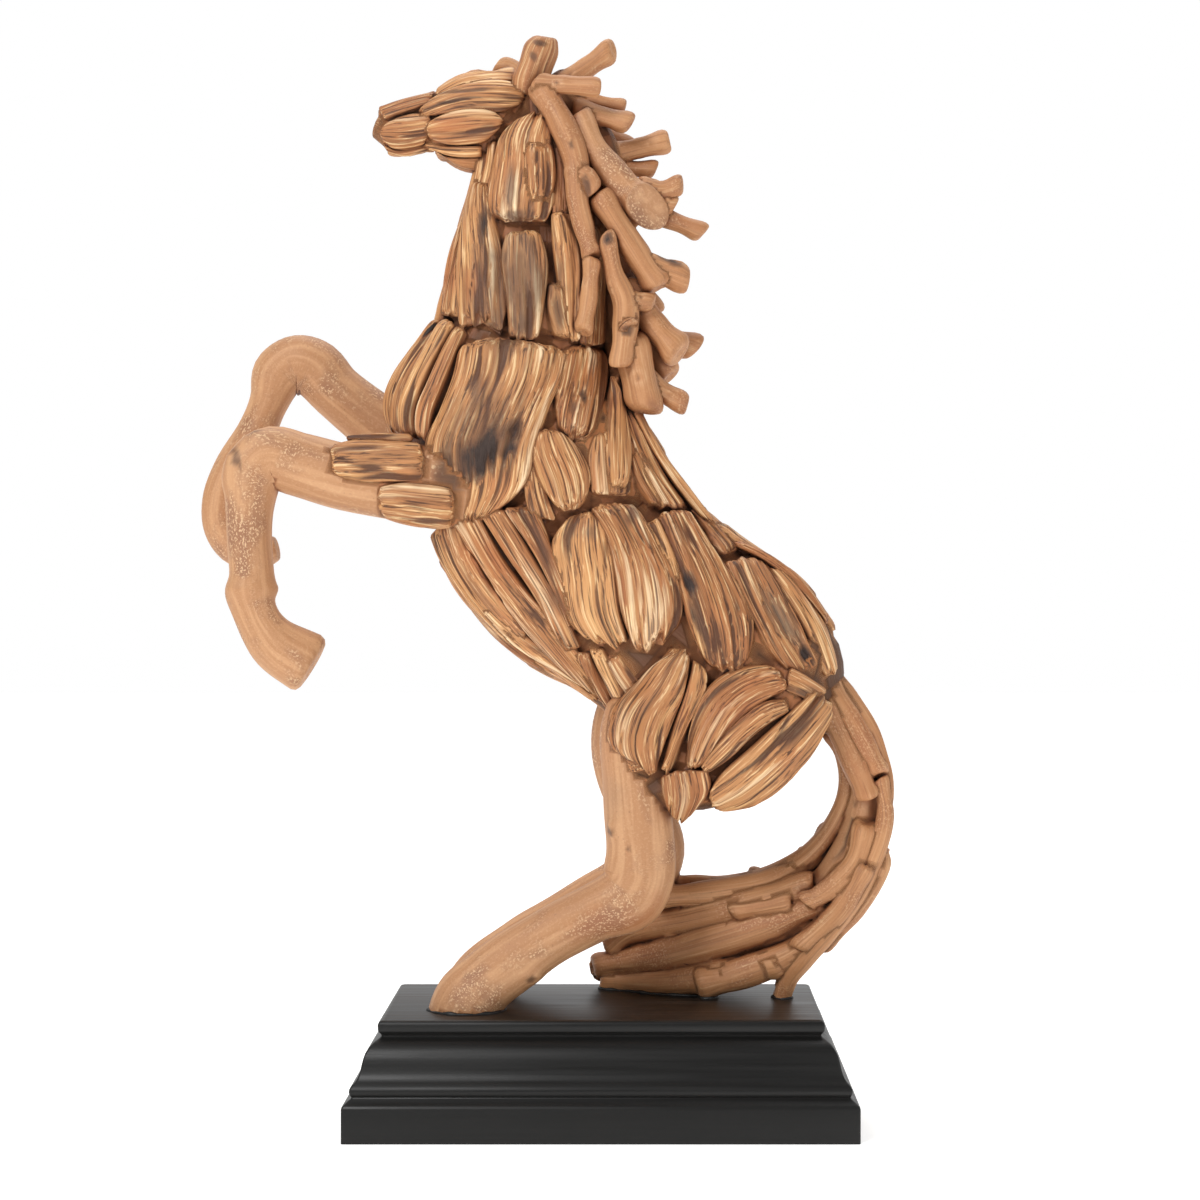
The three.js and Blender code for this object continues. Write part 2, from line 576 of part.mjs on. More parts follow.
// The point of one core's surface that shows at x and z from one side, with its outward normal
function coreSkin(core, side, x, z) {
  let best = { distance: Infinity };
  for (let i = 0; i <= CORE_SEARCH_STEPS; i += 1) {
    const t = i / CORE_SEARCH_STEPS;
    const point = core.curve.getPoint(t);
    const distance = Math.hypot(point.x - x, point.z - z);
    if (distance < best.distance) best = { distance, t, point };
  }
  const { t, point } = best;
  const { along, up } = coreFrame(core, t);
  const height = readRow(core.heights, t);
  const depth = readRow(core.depths, t);
  const offset = (x - point.x) * up.x + (z - point.z) * up.z;
  const slip = (x - point.x) * along.x + (z - point.z) * along.z;
  const over = Math.max(Math.abs(offset) - height, Math.abs(slip) - height / 2, 0);
  const share = side === 0 ? Math.sign(offset) : THREE.MathUtils.clamp(offset / height, -1, 1);
  const rise = side * depth * Math.sqrt(1 - share * share);
  const skin = point.clone().addScaledVector(up, share * height).addScaledVector(along, slip);
  skin.y += rise;
  const normal = up.clone().multiplyScalar(share / height);
  normal.y += rise / depth ** 2;
  normal.normalize();
  const round = along.clone().cross(normal).normalize();
  const sine = share ** 2 * depth ** 2 + (1 - share ** 2) * height ** 2;
  const radius = sine ** 1.5 / (height * depth);
  return { skin, normal, round, radius, over };
}

// The outermost of several cores at x and z, among those that reach there
function skinPoint(cores, side, x, z) {
  const skins = cores.map((core) => coreSkin(core, side, x, z));
  const nearest = Math.min(...skins.map((found) => found.over));
  return skins
    .filter((found) => found.over <= nearest + REACH_TOLERANCE)
    .sort((one, other) => side * (other.skin.y - one.skin.y))[0];
}

// A board: a flat tongue of wood laid along a core's surface and bent a little to it
function boardSolid(cores, side, row) {
  const [x0, z0, x1, z1, bow, w0, w1, w2, lift] = row;
  const wide = w1 > WIDE_BOARD;
  const length = Math.hypot(x1 - x0, z1 - z0);
  const aside = new THREE.Vector2(z1 - z0, x0 - x1).divideScalar(length);
  const stops = [0, 0.25, 0.5, 0.75, 1].map((t) => {
    const swing = bow * 4 * t * (1 - t) * Math.sign(aside.x || 1);
    const x = THREE.MathUtils.lerp(x0, x1, t) + aside.x * swing;
    const z = THREE.MathUtils.lerp(z0, z1, t) + aside.y * swing;
    return skinPoint(cores, side, x, z);
  });
  const curve = new THREE.CatmullRomCurve3(stops.map((stop) => stop.skin));
  const outline = wide ? WIDE_OUTLINE : SLIM_OUTLINE;
  const facets = wide ? WIDE_BOARD_FACETS : SLIM_BOARD_FACETS;
  return sweptBall(facets, outline, BOARD_BLUNTNESS, (t, across, proud) => {
    const stop = stops[Math.round(t * (stops.length - 1))];
    const tangent = curve.getTangent(t);
    const crosswise = stop.normal.clone().cross(tangent).normalize();
    const outward = tangent.clone().cross(crosswise).normalize();
    const halfWidth = readRow([w0, w1, w2], t);
    const reach = across * halfWidth;
    const roundness = crosswise.dot(stop.round) ** 2 / stop.radius;
    const drop = BOARD_FLEX * reach * reach * roundness / 2;
    const height = proud * (proud > 0 ? lift : BOARD_SINK);
    return curve.getPoint(t)
      .addScaledVector(crosswise, reach)
      .addScaledVector(outward, height - drop);
  });
}

function knotSolid([x, y, z, radius]) {
  const geometry = new THREE.SphereGeometry(radius, KNOT_MERIDIANS, KNOT_RINGS);
  geometry.translate(x, y, z);
  return asSolid(geometry);
}

function mirrored(stations, side) {
  return stations.map(([x, y, z, ...rest]) => [x, side * y, z, ...rest]);
}

function horseParts() {
  const trunk = makeCore(TRUNK);
  const chest = makeCore(CHEST);
  const neck = makeCore(NECK);
  const head = makeCore(HEAD);
  const nearThigh = makeCore(mirrored(THIGH, -1));
  const farThigh = makeCore(THIGH);
  const nearStifle = makeCore(mirrored(STIFLE, -1));
  const farStifle = makeCore(STIFLE);
  const nearForeleg = makeCore(NEAR_FORELEG);
  const farForeleg = makeCore(FAR_FORELEG);
  const parts = [
    coreSolid(trunk, TRUNK_FACETS),
    coreSolid(chest, TRUNK_FACETS),
    coreSolid(neck, NECK_FACETS),
    coreSolid(makeCore(CREST), LIMB_FACETS),
    coreSolid(head, LIMB_FACETS),
    coreSolid(nearThigh, NECK_FACETS),
    coreSolid(farThigh, NECK_FACETS),
    coreSolid(nearStifle, LIMB_FACETS),
    coreSolid(farStifle, LIMB_FACETS),
    coreSolid(nearForeleg, LIMB_FACETS),
    coreSolid(farForeleg, LIMB_FACETS),
    coreSolid(makeCore(NEAR_HIND_LEG), LIMB_FACETS),
    coreSolid(makeCore(FAR_HIND_LEG), LIMB_FACETS),
    coreSolid(makeCore(TAIL), TAIL_FACETS),
  ];
  const lay = (cores, side, rows) => {
    rows.forEach((row) => parts.push(boardSolid(cores, side, row)));
  };
  lay([trunk], -1, NEAR_TRUNK_BOARDS);
  lay([trunk], 0, EDGE_TRUNK_BOARDS);
  lay([trunk], 1, FAR_TRUNK_BOARDS);
  lay([chest, trunk], -1, NEAR_CHEST_BOARDS);
  lay([chest], 0, EDGE_CHEST_BOARDS);
  lay([chest, trunk], 1, FAR_CHEST_BOARDS);
  lay([neck, chest], -1, NEAR_NECK_BOARDS);
  lay([neck], 0, EDGE_NECK_BOARDS);
  lay([neck, chest], 1, FAR_NECK_BOARDS);
  lay([head], -1, NEAR_HEAD_BOARDS);
  lay([head], 0, EDGE_HEAD_BOARDS);
  lay([head], 1, FAR_HEAD_BOARDS);
  lay([nearThigh, nearStifle, trunk], -1, NEAR_THIGH_BOARDS);
  lay([farThigh, farStifle, trunk], 1, FAR_THIGH_BOARDS);
  lay([nearStifle, nearThigh, trunk], -1, NEAR_STIFLE_BOARDS);
  lay([farStifle, farThigh, trunk], 1, FAR_STIFLE_BOARDS);
  lay([nearForeleg], -1, NEAR_FOREARM_BOARDS);
  lay([farForeleg], 1, FAR_FOREARM_BOARDS);
  [...NEAR_MANE, ...FAR_MANE, ...TAIL_STRANDS, ...FAR_TAIL_STRANDS].forEach((row) => {
    parts.push(branchSolid(row));
  });
  EARS.forEach((row) => parts.push(branchSolid(row, LIMB_FACETS)));
  KNOTS.forEach((row) => parts.push(knotSolid(row)));
  return parts;
}

// Everything below the plinth's top is cut away, so that the hooves and the tail stand flat
function groundCutter() {
  const top = PLINTH_HEIGHT + GLUE_GAP;
  const box = new THREE.BoxGeometry(CUTTER_SIZE, CUTTER_SIZE, CUTTER_SIZE);
  box.translate(0, 0, top - CUTTER_SIZE / 2);
  return asSolid(box);
}

function horseGeometry() {
  const whole = horseParts().reduce((sum, part) => sum.add(part));
  return outerSkin(whole.subtract(groundCutter()));
}

// The plinth is one ring of corners for each step of its profile
function plinthGeometry() {
  const rings = PLINTH_PROFILE.map(([outward, height]) => {
    const ring = [];
    const signs = [[1, 1], [-1, 1], [-1, -1], [1, -1]];
    signs.forEach(([sx, sy], quarter) => {
      for (let i = 0; i < PLINTH_CORNER_POINTS; i += 1) {
        const angle = (quarter + i / (PLINTH_CORNER_POINTS - 1)) * Math.PI / 2;
        const x = sx * (TOP_HALF_LENGTH + outward - CORNER_RADIUS) + CORNER_RADIUS * Math.cos(angle);
        const y = sy * (TOP_HALF_DEPTH + outward - CORNER_RADIUS) + CORNER_RADIUS * Math.sin(angle);
        ring.push(new THREE.Vector3(x, y, height));
      }
    });
    return ring;
  });
  const count = rings[0].length;
  const points = rings.flat();
  const faces = [];
  for (let level = 0; level + 1 < rings.length; level += 1) {
    for (let i = 0; i < count; i += 1) {
      const next = (i + 1) % count;
      const upper = level * count;
      const lower = upper + count;
      faces.push(upper + i, lower + i, lower + next, upper + i, lower + next, upper + next);
    }
  }
  const last = (rings.length - 1) * count;
  for (let i = 1; i + 1 < count; i += 1) {
    faces.push(0, i, i + 1);
    faces.push(last, last + i + 1, last + i);
  }
  const geometry = new THREE.BufferGeometry().setFromPoints(points);
  geometry.setIndex(faces);
  return geometry;
}

function named(name, geometry, color, roughness) {
  const material = new THREE.MeshStandardMaterial({ color, roughness, metalness: 0, flatShading: true });
  const mesh = new THREE.Mesh(geometry, material);
  mesh.name = name;
  return mesh;
}

const figurine = new THREE.Group();
figurine.add(named("horse", horseGeometry(), 0xc6996b, 0.62));
figurine.add(named("plinth", plinthGeometry(), 0x1e1d1b, 0.38));

export default figurine;
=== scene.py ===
# %% [markdown]
# # A rearing horse, cast in resin to look like driftwood
# The real figurine is one hollow resin casting on a moulded black block. The model starts from the packed
# CAD part, which gives the frame: metres, +Z up, the origin under the middle of the plinth, the horse facing -X.
# The CAD horse is a coarse solid. Here it gets its grain, splits, burns and brown wash.

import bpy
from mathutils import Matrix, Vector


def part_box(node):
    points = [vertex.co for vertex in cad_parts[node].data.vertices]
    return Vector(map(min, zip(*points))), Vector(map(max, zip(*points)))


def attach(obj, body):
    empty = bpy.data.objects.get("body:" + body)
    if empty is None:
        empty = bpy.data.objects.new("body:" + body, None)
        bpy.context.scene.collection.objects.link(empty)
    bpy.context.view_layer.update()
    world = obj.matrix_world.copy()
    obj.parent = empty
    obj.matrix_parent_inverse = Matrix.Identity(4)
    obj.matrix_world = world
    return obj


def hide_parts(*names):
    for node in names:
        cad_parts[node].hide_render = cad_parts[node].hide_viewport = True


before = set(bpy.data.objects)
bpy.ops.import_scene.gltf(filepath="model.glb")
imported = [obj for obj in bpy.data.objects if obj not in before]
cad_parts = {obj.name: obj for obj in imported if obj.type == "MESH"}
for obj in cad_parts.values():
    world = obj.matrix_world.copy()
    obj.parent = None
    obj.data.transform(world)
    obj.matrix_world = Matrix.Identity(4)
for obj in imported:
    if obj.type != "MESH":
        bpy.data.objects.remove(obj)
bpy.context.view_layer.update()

# %%
import math

import bmesh
import bpy
import numpy as np
from mathutils import Matrix
from mathutils.bvhtree import BVHTree

MM = 0.001

# %% [markdown]
# # The camera comes first
# Places on the near side of the horse are given as pixels of a 1200 x 1200 picture, because that is how a
# sculptor works from a photograph: this lump sits here, that crack runs there. One long lens, one metre in
# front of the plinth, turns such a pixel into millimetres as soon as the depth of the surface is known.
# The lens axis stays level, and a small shift frames the object as the photograph does.

# %% Camera
PICTURE = 1200
FOCAL_PIXELS = 2350
AXIS_PIXEL = (644, 577)
CAMERA_MM = (19.3, -1111, 252.9)
SENSOR_MM = 36

camera = bpy.data.objects.new("camera", bpy.data.cameras.new("camera"))
camera.data.sensor_width = SENSOR_MM
camera.data.lens = FOCAL_PIXELS * SENSOR_MM / PICTURE
camera.data.shift_x = (PICTURE / 2 - AXIS_PIXEL[0]) / PICTURE
camera.data.shift_y = (AXIS_PIXEL[1] - PICTURE / 2) / PICTURE
camera.location = [value * MM for value in CAMERA_MM]
camera.rotation_euler = (math.pi / 2, 0, 0)
bpy.context.scene.collection.objects.link(camera)
bpy.context.scene.camera = camera


def from_picture(across, down, depth):
    """The x and z, in mm, of what shows at a pixel when it lies at this depth (y, in mm)."""
    reach = (depth - CAMERA_MM[1]) / FOCAL_PIXELS
    return CAMERA_MM[0] + (across - AXIS_PIXEL[0]) * reach, CAMERA_MM[2] + (AXIS_PIXEL[1] - down) * reach


def to_picture(points):
    """The pixel at which each point, in mm, shows."""
    reach = (points[..., 1] - CAMERA_MM[1]) / FOCAL_PIXELS
    across = AXIS_PIXEL[0] + (points[..., 0] - CAMERA_MM[0]) / reach
    down = AXIS_PIXEL[1] - (points[..., 2] - CAMERA_MM[2]) / reach
    return across, down


print("Lens:", round(camera.data.lens, 1), "mm")

# %% [markdown]
# # Curves through stations
# Necks, legs and branches are all drawn along a smooth curve. A centripetal Catmull-Rom curve passes through
# every station and never loops between two close ones. A Blender curve object would do as well, but with
# numbers in hand every ring of a limb can be placed directly. Extra columns, such as radii, ride along.

# %% Curves
def curve_through(stations):
    """A function that gives the curve's point, and any further columns, at shares 0 to 1 of its length."""
    rows = np.array(stations, float)
    rows = np.vstack([2 * rows[0] - rows[1], rows, 2 * rows[-1] - rows[-2]])
    gaps = np.sum(np.diff(rows[:, :3], axis=0) ** 2, axis=1) ** 0.25
    before, here, after = (gaps[:-2, None], gaps[1:-1, None], gaps[2:, None])
    p0, p1, p2, p3 = rows[:-3], rows[1:-2], rows[2:-1], rows[3:]
    leave = ((p1 - p0) / before - (p2 - p0) / (before + here) + (p2 - p1) / here) * here
    arrive = ((p2 - p1) / here - (p3 - p1) / (here + after) + (p3 - p2) / after) * here
    terms = (p1, leave, 3 * (p2 - p1) - 2 * leave - arrive, 2 * (p1 - p2) + leave + arrive)

    def at(share):
        place = np.clip(share, 0, 1) * len(p1)
        low = np.minimum(place.astype(int), len(p1) - 1)
        rest = (place - low)[..., None]
        return sum(term[low] * rest ** power for power, term in enumerate(terms))

    return at


def unit(vectors):
    return vectors / np.maximum(np.linalg.norm(vectors, axis=-1, keepdims=True), 1e-9)


def direction(at, share):
    share = np.asarray(share, float)
    return unit(at(np.minimum(share + 1e-4, 1))[..., :3] - at(np.maximum(share - 1e-4, 0))[..., :3])


def length_of(at):
    return np.sum(np.linalg.norm(np.diff(at(np.linspace(0, 1, 80))[:, :3], axis=0), axis=1))


# %% [markdown]
# # Random, but the same every time
# Wood relief is drawn from smooth noise in two directions: along the plank it changes slowly, across it fast.
# Every plank has its own seed, so no two look alike and each run gives the same horse.

# %% Noise
NOISE_CELLS = 64


def wander(seed, across, along):
    """Smooth noise between -1 and 1 that changes over one unit of either number."""
    table = np.random.default_rng(seed).uniform(-1, 1, (NOISE_CELLS, NOISE_CELLS))
    column = np.floor(across).astype(int)
    row = np.floor(along).astype(int)
    u = across - column
    v = along - row
    u = u * u * (3 - 2 * u)
    v = v * v * (3 - 2 * v)
    near = table[row % NOISE_CELLS, column % NOISE_CELLS] * (1 - u)
    near = near + table[row % NOISE_CELLS, (column + 1) % NOISE_CELLS] * u
    far = table[(row + 1) % NOISE_CELLS, column % NOISE_CELLS] * (1 - u)
    far = far + table[(row + 1) % NOISE_CELLS, (column + 1) % NOISE_CELLS] * u
    return near * (1 - v) + far * v


# %% [markdown]
# # The body under the planks
# The sculptor's armature: a trunk, chest, neck, crest and head, two thighs and stifles, and the smooth limbs.
# They are the same rows as in the CAD source, so the dressed horse keeps its pose and proportions.
# Each row is x, y, z, half height in the plane of the profile and half depth, all in mm.

# %% Cores
TRUNK = [
    [-52, 0, 326, 42, 34], [-43, 0, 312.6, 53, 38], [-27, 0, 289.4, 55, 40], [-7.8, 0, 261.9, 53.6, 40],
    [22.1, 0, 239.4, 48.2, 39], [46, 0, 220, 50, 38], [67, 0, 209, 47.5, 35], [83, 0, 198.6, 38.6, 30],
    [94, 0, 186.5, 28, 23], [103, 0, 178, 15, 14],
]
CHEST = [
    [-35, 0, 378, 33, 28], [-41, 0, 356, 40.5, 34], [-48, 0, 331, 50.5, 38], [-48, 0, 306, 47.5, 39],
    [-40, 0, 280, 36, 36],
]
NECK = [
    [-40, 0, 345, 40, 30], [-35, 0, 373, 40.6, 28], [-34, 0, 402, 35, 25], [-32.5, 0, 430, 28.6, 22],
    [-32.5, 0, 455, 23.4, 19], [-34, 0, 484, 15, 14],
]
CREST = [
    [-24, 0, 490, 9, 9], [-10, 0, 470, 13, 11], [-1, 0, 445, 15, 12], [3, 0, 415, 13, 14],
    [8, 0, 385, 15, 15], [12, 0, 357, 15, 14], [9, 0, 334, 13, 12],
]
HEAD = [
    [-107.4, 0, 467.3, 6, 6], [-100.4, 0, 464.3, 10.8, 8], [-88, 0, 466.5, 11.5, 9.5], [-77, 0, 468, 14, 12],
    [-66, 0, 467.5, 21.5, 14.5], [-55, 0, 468.5, 22.5, 15.5], [-44, 0, 472.5, 17, 13.5], [-32, 0, 476, 10, 10],
]
THIGH = [
    [98, 16, 222, 12, 13], [77, 23, 193, 28.2, 17], [54, 27, 174.5, 29.3, 17], [31.5, 26, 162.5, 22.6, 14],
    [16, 24, 152, 12, 11],
]
STIFLE = [[52, 18, 230, 13, 13], [38, 24, 206, 17, 16], [26, 26, 182, 19, 16], [17, 25, 160, 17, 14]]
NEAR_FORELEG = [
    [-52, -24, 292, 19, 16], [-79.5, -27, 295, 19, 15], [-93, -27, 296.4, 18.2, 14],
    [-119, -27, 299, 15.2, 13], [-139.5, -27, 304.5, 14.6, 12.5], [-153, -27, 308, 14, 12.5],
    [-160.5, -27, 301, 14.5, 12], [-162, -27, 288.5, 11.5, 11], [-162.5, -27, 270, 10.6, 10],
    [-162, -27, 255, 10.6, 10], [-162, -27, 247, 12.4, 11.5], [-160.5, -27, 239, 10.4, 10.5],
    [-155.5, -27, 228.5, 10.6, 10.5], [-148.4, -27, 220.2, 12.7, 11.5], [-133.6, -27, 211.4, 14.2, 12.5],
]
FAR_FORELEG = [
    [-66, 24, 305, 17, 15], [-90.5, 27, 313.5, 16.5, 14], [-113, 27, 328.7, 14.2, 12.5],
    [-130.3, 27, 342.8, 13.2, 12], [-140, 27, 353.6, 15, 12], [-149, 27, 356, 14.8, 12],
    [-156.5, 27, 351.2, 13.6, 11.5], [-162, 27, 337.8, 9.6, 10.5], [-168.4, 27, 323.6, 9, 9.5],
    [-179.5, 27, 305, 9.6, 9.2], [-184, 27, 290, 10, 9.2], [-184, 27, 277, 9.8, 9.5],
    [-177, 27, 267, 9.2, 9], [-165.7, 27, 265.5, 8.2, 9], [-158, 27, 267, 5.6, 7],
]
NEAR_HIND_LEG = [
    [15, -20, 196, 12, 12], [13, -22, 180, 13.9, 12.5], [14.7, -22, 156.5, 14.8, 13],
    [16.5, -22, 135.5, 15.8, 13.5], [17.5, -22, 122, 15.8, 13.5], [17, -22, 113.5, 16.4, 13.5],
    [12, -22, 105, 16.2, 13], [-4, -22, 97.2, 14, 12], [-21.5, -22, 88, 13.7, 11.5],
    [-38, -22, 77.5, 14.5, 12], [-53, -22, 66.2, 14.8, 12.5], [-61, -22, 57, 15.8, 13.5],
    [-67, -22, 42, 16, 13.5],
]
FAR_HIND_LEG = [
    [12, 20, 198, 12, 12], [8.8, 22, 180, 14.2, 12.5], [11.5, 22, 157, 14.8, 13], [19, 22, 136, 15, 13.5],
    [22.8, 22, 120, 16.2, 13.5], [13.8, 22, 106, 15.2, 13], [-4.5, 22, 95.8, 13.6, 12],
    [-22, 22, 86, 13.2, 11.5], [-38.5, 22, 75.6, 13.8, 12], [-53.5, 22, 65, 14.6, 12.5],
    [-61, 22, 55, 15.8, 13.5], [-65, 22, 42, 16, 13.5],
]
TAIL = [
    [100, 0, 206, 9, 10], [109.6, 0, 199.5, 9, 10], [119, 0, 178, 10.5, 11], [124, 2, 152, 11, 11.5],
    [120.5, 5, 128, 12, 12.5], [103.4, 12, 98.6, 16, 14.5], [70.3, 20, 84, 21, 15.5],
    [46.4, 26, 78, 21, 16], [20, 34, 68.5, 14, 13], [-6, 42, 60, 8, 8],
]


def mirrored(rows):
    return [[x, -y, *rest] for x, y, *rest in rows]


cores = {name: curve_through(rows) for name, rows in {
    "trunk": TRUNK, "chest": CHEST, "neck": NECK, "crest": CREST, "head": HEAD,
    "thigh": mirrored(THIGH), "far_thigh": THIGH, "stifle": mirrored(STIFLE), "far_stifle": STIFLE,
    "foreleg": NEAR_FORELEG, "far_foreleg": FAR_FORELEG,
}.items()}


def core_frame(at, share):
    """A core's direction, and the directions across it in the plane of the profile and out of that plane."""
    along = direction(at, share)
    up = unit(np.cross([0, 1, 0], along))
    return along, up, unit(np.cross(along, up))


print(len(cores), "cores carry planks")

# %% [markdown]
# # Where a plank lies
# A plank rests on the body as a real one would if it were glued there: it follows the big curve under it but
# spans small dips. So the body's depth is read on a coarse net and a low, stiff surface is fitted to it.
# Planks on the near side are outlined by two lines of pixels, their left and right edge. Planks that wrap the
# profile, and those on the unseen far side, are given by a centre line and widths, as in the CAD source.

# %% Skin of the body
SEARCH_STEPS = 160
REACH_TOLERANCE = 0.5
STEEPEST_SHARE = 0.94


def skin(names, side, x, z):
    """Surface points of the outermost core at x and z from one side, with normals and bend."""
    found = []
    for name in names:
        at = cores[name]
        shares = np.linspace(0, 1, SEARCH_STEPS + 1)
        samples = at(shares)
        nearest = np.argmin(np.hypot(samples[:, 0] - x[:, None], samples[:, 2] - z[:, None]), axis=1)
        row = samples[nearest]
        along, up, _ = core_frame(at, shares[nearest])
        height, depth = row[:, 3], row[:, 4]
        offset = (x - row[:, 0]) * up[:, 0] + (z - row[:, 2]) * up[:, 2]
        slip = (x - row[:, 0]) * along[:, 0] + (z - row[:, 2]) * along[:, 2]
        over = np.maximum(np.maximum(np.abs(offset) - height, np.abs(slip) - height / 2), 0)
        limit = 1 if side == 0 else STEEPEST_SHARE
        share = np.sign(offset) if side == 0 else np.clip(offset / height, -limit, limit)
        rise = side * depth * np.sqrt(1 - share ** 2)
        point = row[:, :3] + up * (share * height)[:, None] + along * slip[:, None]
        point[:, 1] += rise
        normal = up * (share / height)[:, None]
        normal[:, 1] += rise / depth ** 2
        normal = unit(normal)
        sine = share ** 2 * depth ** 2 + (1 - share ** 2) * height ** 2
        bend = height * depth / sine ** 1.5
        found.append((over, point, normal, unit(np.cross(along, normal)), bend))
    over = np.array([entry[0] for entry in found])
    front = np.array([side * entry[1][:, 1] for entry in found])
    front[over > over.min(axis=0) + REACH_TOLERANCE] = -1e9
    pick = np.argmax(front, axis=0)
    spot = np.arange(len(x))
    return [np.array([entry[part] for entry in found])[pick, spot] for part in (1, 2, 3, 4)]


# %% Two ways to lay a plank
FLEX = 0.8
SPREAD = 1.04
RUN_ON_PIXELS = 3
FIT_POWERS = [(i, j) for i in range(3) for j in range(4)]


def laid_between(names, left, right):
    """A surface for shares u (-1 left, 1 right) and t, between two outlines in picture pixels."""
    edges = []
    for outline in (left, right):
        row = np.array([[*point, 0] for point in outline], float)
        row[0] += unit(row[0] - row[1]) * RUN_ON_PIXELS
        row[-1] += unit(row[-1] - row[-2]) * RUN_ON_PIXELS
        edges.append(curve_through(row))
    left_at, right_at = edges

    def pixel(u, t):
        u = u * SPREAD
        return left_at(t)[..., :2] * ((1 - u) / 2)[..., None] + right_at(t)[..., :2] * ((1 + u) / 2)[..., None]

    u, t = [grid.ravel() for grid in np.meshgrid(np.linspace(-0.9, 0.9, 7), np.linspace(0.03, 0.97, 9))]
    terms = np.stack([u ** i * t ** j for i, j in FIT_POWERS], axis=1)
    depth = np.full(len(u), -30.0)
    for _ in range(3):
        x, z = from_picture(*pixel(u, t).T, depth)
        depth = skin(names, -1, x, z)[0][:, 1]
        fit = np.linalg.lstsq(terms, depth, rcond=None)[0]
        depth = terms @ fit

    def place(u, t):
        y = sum(fit[k] * u ** i * t ** j for k, (i, j) in enumerate(FIT_POWERS))
        x, z = from_picture(pixel(u, t)[..., 0], pixel(u, t)[..., 1], y)
        return np.stack([x, y, z], axis=-1)

    def surface(u, t):
        ahead = place(u, np.minimum(t + 0.01, 1)) - place(u, np.maximum(t - 0.01, 0))
        aside = place(u + 0.01, t) - place(u - 0.01, t)
        outward = unit(np.cross(ahead, aside))
        return place(u, t), outward * -np.sign(outward[..., 1:2])

    middle = np.zeros(20)
    stops = np.linspace(0, 1, 20)
    length = np.sum(np.linalg.norm(np.diff(place(middle, stops), axis=0), axis=1))
    halves = np.linalg.norm(place(middle + 1, stops) - place(middle - 1, stops), axis=1) / 2
    return surface, length, lambda t: np.interp(t, stops, halves)


def laid_along(names, side, row):
    """The same for a centre line and three half widths in mm."""
    x0, z0, x1, z1, bow, w0, w1, w2 = row
    stops = np.linspace(0, 1, 5)
    aside = np.array([z1 - z0, x0 - x1]) / math.hypot(x1 - x0, z1 - z0)
    swing = bow * 4 * stops * (1 - stops) * (np.sign(aside[0]) or 1)
    x = x0 + (x1 - x0) * stops + aside[0] * swing
    z = z0 + (z1 - z0) * stops + aside[1] * swing
    points, normals, rounds, bends = skin(names, side, x, z)
    line = curve_through(points)
    facts = np.column_stack([normals, rounds, bends])

    def half_width(t):
        return w0 * (1 - t) * (1 - 2 * t) + w1 * 4 * t * (1 - t) + w2 * t * (2 * t - 1)

    def surface(u, t):
        row_at = np.stack([np.interp(t, stops, column) for column in facts.T], axis=-1)
        tangent = direction(line, t)
        crosswise = unit(np.cross(row_at[..., :3], tangent))
        outward = unit(np.cross(tangent, crosswise))
        reach = u * half_width(t)
        bend = np.sum(crosswise * row_at[..., 3:6], axis=-1) ** 2 * row_at[..., 6]
        drop = FLEX * reach ** 2 * bend / 2
        return line(t) + crosswise * reach[..., None] - outward * drop[..., None], outward

    return surface, length_of(line), half_width


# %% [markdown]
# # One closed skin for each stick
# Every plank, branch and limb starts as a UV sphere: its rings become stations along the stick and its two
# poles close the ends. That keeps each stick watertight, which the join needs later. The mesh also carries
# four notes for the paint: which way the grain runs, how high the relief stands, how smooth the wood is,
# and a random tint.

# %% Sticks
sticks = []


def ball_of_wood(around, rings):
    """A UV sphere's mesh, with each vertex's share of a turn and its ring."""
    ball = bmesh.new()
    bmesh.ops.create_uvsphere(ball, u_segments=around, v_segments=rings, radius=1)
    mesh = bpy.data.meshes.new("stick")
    ball.to_mesh(mesh)
    ball.free()
    places = np.zeros(len(mesh.vertices) * 3)
    mesh.vertices.foreach_get("co", places)
    x, y, z = places.reshape(-1, 3).T
    turn = np.round((np.arctan2(y, x) / (2 * math.pi) % 1) * around).astype(int) % around
    ring = np.round(np.arccos(np.clip(z, -1, 1)) / math.pi * rings).astype(int)
    return mesh, turn, ring


def note(mesh, name, values):
    kind = "FLOAT_VECTOR" if values.ndim == 2 else "FLOAT"
    field = "vector" if values.ndim == 2 else "value"
    layer = mesh.attributes.new(name, kind, "POINT")
    layer.data.foreach_set(field, values.astype(np.float32).ravel())


def finish_stick(mesh, points, grain, relief, smooth, tint, wash, core_brown_and_shade=0):
    mesh.vertices.foreach_set("co", (points * MM).astype(np.float32).ravel())
    note(mesh, "grain", grain)
    note(mesh, "relief", relief)
    note(mesh, "smooth", np.full(len(points), float(smooth)))
    note(mesh, "tint", np.full(len(points), float(tint)))
    note(mesh, "wash", wash)
    note(mesh, "core_brown_and_shade", np.full(len(points), float(core_brown_and_shade)))
    check = bmesh.new()
    check.from_mesh(mesh)
    if check.calc_volume(signed=True) < 0:
        bmesh.ops.reverse_faces(check, faces=check.faces)
        check.to_mesh(mesh)
    check.free()
    sticks.append(bpy.data.objects.new(f"stick_{len(sticks)}", mesh))


# %% [markdown]
# # Stains and hollows
# On the real casting some places are burnt nearly black, some glow orange, some are grey and dished. Each row
# below is such a place in picture pixels: centre, half length, half width, the angle of its long axis (down
# from the right), how deep it is dished in mm, and how much black, orange and grey the painter used.

